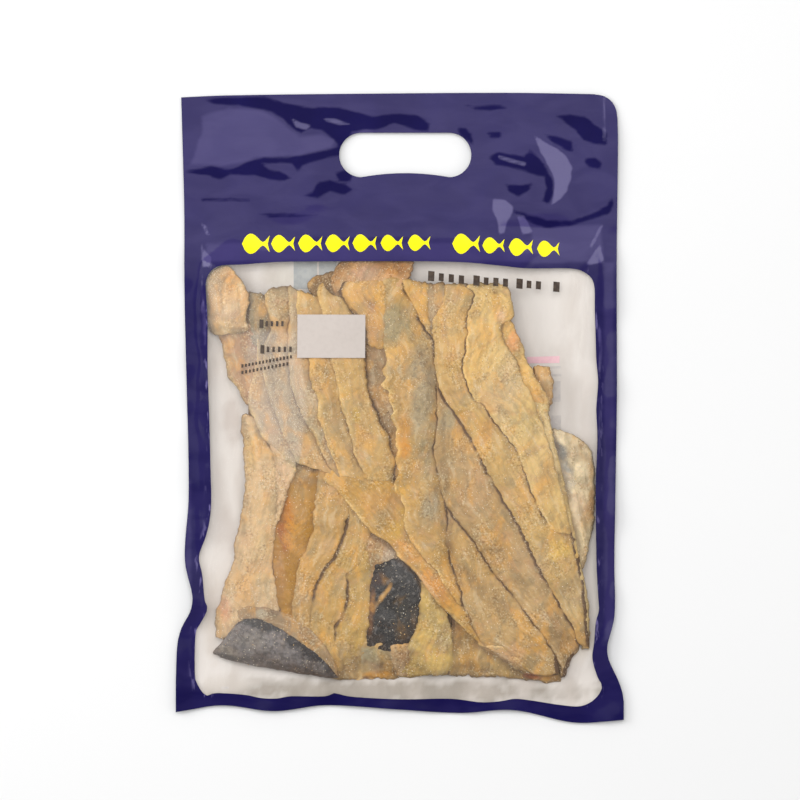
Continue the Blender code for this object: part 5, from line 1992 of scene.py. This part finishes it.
class Grains(NodeTree):
    """Grains of one shape strewn over a surface."""

    TURN = 6.28

    def __init__(self, name: str, material: bpy.types.Material) -> None:
        """Builds the tree.

        Args:
            name: the tree's name.
            material: the grains' material.
        """
        super().__init__(name)
        kinds = {"Density": "Float", "Grain": "Object", "Smallest": "Float", "Largest": "Float", "Seed": "Int"}
        density, grain, small, large, seed = self.inputs(kinds)
        share = self.node("GeometryNodeInputNamedAttribute", {"data_type": "FLOAT"}, {"Name": "salt"}, "Attribute")
        amount = self.node("ShaderNodeMath", {"operation": "MULTIPLY"}, {0: share, 1: density})
        sockets = {"Mesh": self.entry.outputs[0], "Density": amount, "Seed": seed}
        settings = {"distribute_method": "RANDOM"}
        points = self.node("GeometryNodeDistributePointsOnFaces", settings, sockets, "Points")
        sockets = {"Min": (0, 0, 0), "Max": (self.TURN, self.TURN, self.TURN), "Seed": seed}
        turn = self.node("FunctionNodeRandomValue", {"data_type": "FLOAT_VECTOR"}, sockets)
        sockets = {"Min": small, "Max": large, "Seed": seed}
        size = self.node("FunctionNodeRandomValue", {"data_type": "FLOAT"}, sockets)
        self.instances(points, grain, {"Rotation": turn, "Scale": size}, material)


class Surface:
    """The top of a finished piece, found by upright lines."""

    def __init__(self, piece: bpy.types.Object) -> None:
        """Reads the piece's mesh."""
        mesh = piece.data
        self.tree = BVHTree.FromPolygons([v.co for v in mesh.vertices], [tuple(p.vertices) for p in mesh.polygons])

    def height(self, x: float, y: float) -> float:
        """Returns the height of the surface at a place."""
        place = self.tree.ray_cast(Vector((x, y, 1)), Vector((0, 0, -1)))[0]
        return 0.0 if place is None else place.z

    def carry(self, piece: bpy.types.Object, lift: float) -> None:
        """Lays a flat piece, made on z = 0, a little above the surface.

        Args:
            piece: the piece.
            lift: how far above the surface its underside lies.
        """
        for vertex in piece.data.vertices:
            vertex.co.z += self.height(vertex.co.x, vertex.co.y) + lift
        piece.data.update()


# ---------------------------------------------------------------------------------- the print
class Print:
    """Marks on the front and on the back film, without letters."""

    THICKNESS = 0.06 * MM
    LIFT = 0.07 * MM
    CELL = 1.6 * MM
    FISH_LENGTH = 13.6 * MM
    FISH_POINTS = 8
    FISH_BODY, FISH_DEPTH, FISH_SNOUT = 0.76, 0.37, 0.06
    FISH_TAIL = [(0.33, 0.1), (0.5, 0.3), (0.43, 0.0), (0.5, -0.3), (0.33, -0.1)]
    SPREAD = 0.12

    def __init__(self, film: Surface, lining: Surface) -> None:
        """Takes the surfaces that the marks lie on."""
        self.film, self.lining = film, lining
        self.pieces: list[bpy.types.Object] = []

    def _shape(self, name: str, outline: np.ndarray) -> bpy.types.Object:
        """Returns a thin flat shape."""
        return SolidBuilder.mark(name, outline, self.THICKNESS, self.CELL)

    @classmethod
    def fish_outline(cls) -> np.ndarray:
        """Returns the outline of a plain fish from the side, head to the left."""
        body = []
        for n in range(cls.FISH_POINTS + 1):
            a = n / cls.FISH_POINTS
            back = max(cls.FISH_DEPTH * math.sin(math.pi * a**0.8), cls.FISH_SNOUT * min(1, cls.FISH_POINTS * a))
            body.append((-0.5 + cls.FISH_BODY * a, back))
        belly = [(x, -y) for x, y in body[:0:-1]]
        return np.array(body + cls.FISH_TAIL + belly)[::-1] * cls.FISH_LENGTH

    def _row(
        self, tree: Marks, name: str, mark: bpy.types.Object, ends: Pixels, count: int, first: float, seed: int
    ) -> bpy.types.Object:
        """Sets marks in a row between two places of the photograph.

        Args:
            tree: the tree that sets them.
            name: the piece's name.
            mark: the shape of one mark.
            ends: the places of the first and the last mark, in pixels.
            count: how many there are.
            first: how much larger the first one is.
            seed: picks their sizes.

        Returns:
            The row as one piece.
        """
        start, end = Photo.at(ends)
        step = (end - start) / max(1, count - 1)
        base = bpy.data.meshes.new(name)
        values = {
            "Count": count, "Start": (*start, 0.0), "Step": (*step, 0.0), "Mark": mark,
            "First Size": first, "Spread": self.SPREAD, "Seed": seed,
        }
        return tree.run(name, base, values)

    def _finish(self, piece: bpy.types.Object, surface: Surface) -> None:
        """Lays a piece on its surface and keeps it.

        Args:
            piece: the piece.
            surface: the film that it lies on.
        """
        surface.carry(piece, self.LIFT)
        self.pieces.append(piece)
        note(piece)

    def _flat(self, name: str, corners: Pixels, finish: bpy.types.Material, surface: Surface) -> None:
        """Prints a four-sided mark on a surface.

        Args:
            name: the piece's name.
            corners: its corners in pixels.
            finish: its material.
            surface: the film that it lies on.
        """
        piece = self._shape(name, Photo.at(corners)[::-1])
        piece.data.materials.append(finish)
        self._finish(piece, surface)

    def build(self) -> None:
        """Makes every mark."""
        yellow = Ink("yellow_ink", (247, 238, 22), (238, 226, 18)).make()
        dark = Ink("dark_ink", (66, 56, 50), (84, 72, 62)).make()
        white = Ink("white_label", (191, 181, 174), (188, 178, 171), 0.35).make()
        pink = Ink("pink_ink", (238, 196, 204), (232, 186, 198)).make()
        grey = Ink("grey_ink", (206, 200, 196), (196, 190, 188)).make()
        blue = Ink("blue_grey_ink", (180, 183, 182), (170, 174, 176)).make()

        titles, dashes = Marks("title_marks", yellow), Marks("dash_marks", dark)
        fish = self._shape("mark_fish", self.fish_outline())
        dash, small, dot = (
            self._shape(name, np.array(corners) * MM)
            for name, corners in (
                ("mark_dash", ((-1.5, -2.2), (1.4, -2.5), (1.6, 2.1), (-1.3, 2.4))),
                ("mark_small", ((-0.75, -1.5), (0.7, -1.7), (0.8, 1.4), (-0.65, 1.6))),
                ("mark_dot", ((-0.6, -0.9), (0.5, -1.0), (0.65, 0.8), (-0.5, 1.0))),
            )
        )
        rows = (
            (titles, "title_first", fish, ((256, 244), (419, 243)), 7, 1.12, 3),
            (titles, "title_second", fish, ((466, 244), (548, 249)), 4, 1.12, 4),
            (dashes, "weight_first", dash, ((431, 276.5), (461, 280)), 4, 1.2, 11),
            (dashes, "weight_second", dash, ((476, 281), (505, 283)), 4, 1.2, 12),
            (dashes, "weight_third", dash, ((519, 284), (538, 285.5)), 3, 1.2, 13),
            (dashes, "weight_fourth", dash, ((556, 287), (556, 287)), 1, 1.2, 14),
            (dashes, "label_first", small, ((262, 324), (283, 324)), 5, 1.5, 21),
            (dashes, "label_second", small, ((263, 349.5), (291, 349.5)), 6, 1.5, 22),
            (dashes, "code_first", dot, ((243, 366), (291.5, 357)), 15, 1.0, 31),
            (dashes, "code_second", dot, ((243, 372.5), (288, 364)), 13, 1.0, 32),
        )
        for row in rows:
            self._finish(self._row(*row), self.film)
        self._flat("blank_label", ((298, 315), (365.6, 315.2), (365.3, 358.2), (297.8, 358)), white, self.film)
        backs = (
            ("back_bar_first", ((293.7, 258), (317, 258), (317, 289), (293.7, 289)), blue),
            ("back_bar_second", ((319, 258), (336.5, 258), (336.5, 289), (319, 289)), blue),
            ("back_pink", ((527, 357), (559.5, 356), (559.5, 363), (527, 363.4)), pink),
            ("back_line_first", ((536, 366.4), (561, 366), (561, 368.4), (536, 369)), grey),
            ("back_line_second", ((551.4, 374), (561.3, 374), (561.3, 376.3), (551.4, 376.4)), grey),
            ("back_block_first", ((553, 381), (560.5, 381), (560.5, 402), (553, 402)), grey),
            ("back_block_second", ((551.6, 415.5), (561, 415.5), (561, 428.5), (551.6, 428.5)), grey),
            ("back_speck", ((221.5, 686.6), (229, 686.2), (229, 688.4), (221.5, 688.8)), grey),
        )
        for name, corners, finish in backs:
            self._flat(name, corners, finish, self.lining)
        for shape in (fish, dash, small, dot):
            bpy.data.objects.remove(shape)


# ---------------------------------------------------------------------------------- salt and crumbs
@dataclass(frozen=True)
class Strewing:
    """One kind of grain: its finish, proportions, number on a square metre, sizes and seed."""

    name: str
    finish: Crystal
    squash: tuple[float, float, float]
    density: float
    sizes: tuple[float, float]
    seed: int


class Strewn:
    """Salt and crumbs on the fillets."""

    KINDS = (
        Strewing("salt_grains", Crystal(), (1, 0.9, 0.8), 7.0e4, (0.22 * MM, 0.55 * MM), 5),
        Strewing("fish_crumbs", Crystal("fish_crumb", (222, 186, 128), (196, 154, 96), 0.5), (1.3, 0.8, 0.5),
                 1.2e4, (0.4 * MM, 1.2 * MM), 9),
    )
    WOBBLE, WOBBLE_STEP = 0.25, 2.3

    def __init__(self, fillets: Sequence[bpy.types.Object]) -> None:
        """Joins the fillets' surfaces into one that the grains lie on.

        Args:
            fillets: the pieces that they lie on.
        """
        work = bmesh.new()
        for piece in fillets:
            work.from_mesh(piece.data)
        self.base = bpy.data.meshes.new("strewn_base")
        work.to_mesh(self.base)
        work.free()
        self.pieces: list[bpy.types.Object] = []

    @classmethod
    def _grain(cls, name: str, squash: tuple[float, float, float]) -> bpy.types.Object:
        """Returns a small lump, one unit across, with its corners knocked off.

        Args:
            name: the lump's name.
            squash: how much of its size is kept along each axis.

        Returns:
            The lump.
        """
        work = bmesh.new()
        bmesh.ops.create_icosphere(work, subdivisions=1, radius=0.5)
        for vertex in work.verts:
            wobble = 1 + cls.WOBBLE * math.sin(vertex.index * cls.WOBBLE_STEP)
            vertex.co = Vector([part * kept for part, kept in zip(vertex.co, squash)]) * wobble
        mesh = bpy.data.meshes.new(name)
        work.to_mesh(mesh)
        work.free()
        return linked(name, mesh)

    def build(self) -> None:
        """Strews salt and crumbs."""
        for kind in self.KINDS:
            tree = Grains(kind.name + "_tree", kind.finish.make())
            grain = self._grain(kind.name + "_grain", kind.squash)
            values = {"Density": kind.density, "Grain": grain, "Seed": kind.seed}
            values |= {"Smallest": kind.sizes[0], "Largest": kind.sizes[1]}
            piece = tree.run(kind.name, self.base.copy(), values)
            bpy.data.objects.remove(grain)
            self.pieces.append(piece)
            note(piece)


# ---------------------------------------------------------------------------------- the studio
@dataclass(frozen=True)
class Lamp:
    """A soft lamp: where it hangs, what it points at, its size and its strength."""

    name: str
    place: tuple[float, float, float]
    target: tuple[float, float, float]
    size: tuple[float, float]
    power: float


class Studio:
    """The floor, the lamps, the pale surroundings and the camera."""

    DISTANCE = 3.2
    SENSOR = 36.0
    LAMPS = (
        Lamp("softbox_top", (-0.1, 0.42, 1.5), (0, 0, 0), (1.5, 1.05), 15.0),
        Lamp("softbox_left", (-1.2, 0.4, 0.8), (0, 0, 0), (0.8, 0.8), 10.0),
        Lamp("softbox_right", (1.3, -0.2, 0.8), (0, 0, 0), (0.8, 0.8), 3.0),
    )
    SURROUNDINGS = 0.5
    TABLE_SIZE = 6.0
    CLIP = (0.1, 20.0)

    def build(self) -> None:
        """Makes everything round the pouch."""
        self._floor()
        for lamp in self.LAMPS:
            self._lamp(lamp)
        world = bpy.data.worlds.new("pale_room")
        world.use_nodes = True
        background = world.node_tree.nodes["Background"].inputs
        background["Color"].default_value = (1, 1, 1, 1)
        background["Strength"].default_value = self.SURROUNDINGS
        bpy.context.scene.world = world
        bpy.context.scene.view_settings.view_transform = "Standard"
        self._camera()

    def _floor(self) -> None:
        """Makes the table top."""
        bpy.ops.mesh.primitive_plane_add(size=self.TABLE_SIZE, location=(0, 0, 0))
        floor = bpy.context.object
        floor.name = "table_top"
        floor.data.materials.append(PaleFloor().make())

    @staticmethod
    def _lamp(lamp: Lamp) -> None:
        """Hangs one lamp.

        Args:
            lamp: its place, target, size and strength.
        """
        data = bpy.data.lights.new(lamp.name, "AREA")
        data.shape = "RECTANGLE"
        data.size, data.size_y = lamp.size
        data.energy = lamp.power
        item = linked(lamp.name, data)
        item.location = lamp.place
        item.rotation_mode = "QUATERNION"
        item.rotation_quaternion = (Vector(lamp.target) - Vector(lamp.place)).to_track_quat("-Z", "Y")
        item.visible_camera = False

    def _camera(self) -> None:
        """Hangs the camera over the pouch as in the photograph."""
        data = bpy.data.cameras.new("camera")
        data.sensor_width = self.SENSOR
        data.lens = self.SENSOR * self.DISTANCE / (Photo.SIDE * Photo.SCALE)
        data.clip_start, data.clip_end = self.CLIP
        item = linked("camera", data)
        middle = Photo.at([(Photo.SIDE / 2, Photo.SIDE / 2)])[0]
        item.location = (middle[0], middle[1], self.DISTANCE)
        bpy.context.scene.camera = item


# ---------------------------------------------------------------------------------- assembly
def attach(pieces: Sequence[bpy.types.Object]) -> None:
    """Makes pieces ride with the pouch and stand for its solid.

    Args:
        pieces: the pieces.
    """
    for piece in pieces:
        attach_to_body(piece, "root")
        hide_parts(NODE)


def main() -> None:
    """Builds the pouch's pieces in order."""
    logging.basicConfig(level=logging.INFO, format="%(name)s: %(message)s")
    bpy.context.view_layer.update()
    Studio().build()
    form = PouchForm(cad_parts[NODE])
    pile = Pile(form)
    pile.build(DriedFlesh().make())
    bag = Bag(form)
    bag.build_film(pile.tops, PrintedFilm().make(), BackFilm().make())
    bag.build_lining(InnerWhite().make())
    prints = Print(Surface(bag.film), Surface(bag.lining))
    prints.build()
    strewn = Strewn(pile.pieces)
    strewn.build()
    skins = [p for p in pile.pieces if p.name in ("black_skin", "grey_skin")]
    attach([bag.film])
    attach([bag.lining])
    attach([p for p in pile.pieces if p not in skins] + strewn.pieces)
    attach(skins)
    attach(prints.pieces)


if __name__ == "__main__":
    main()
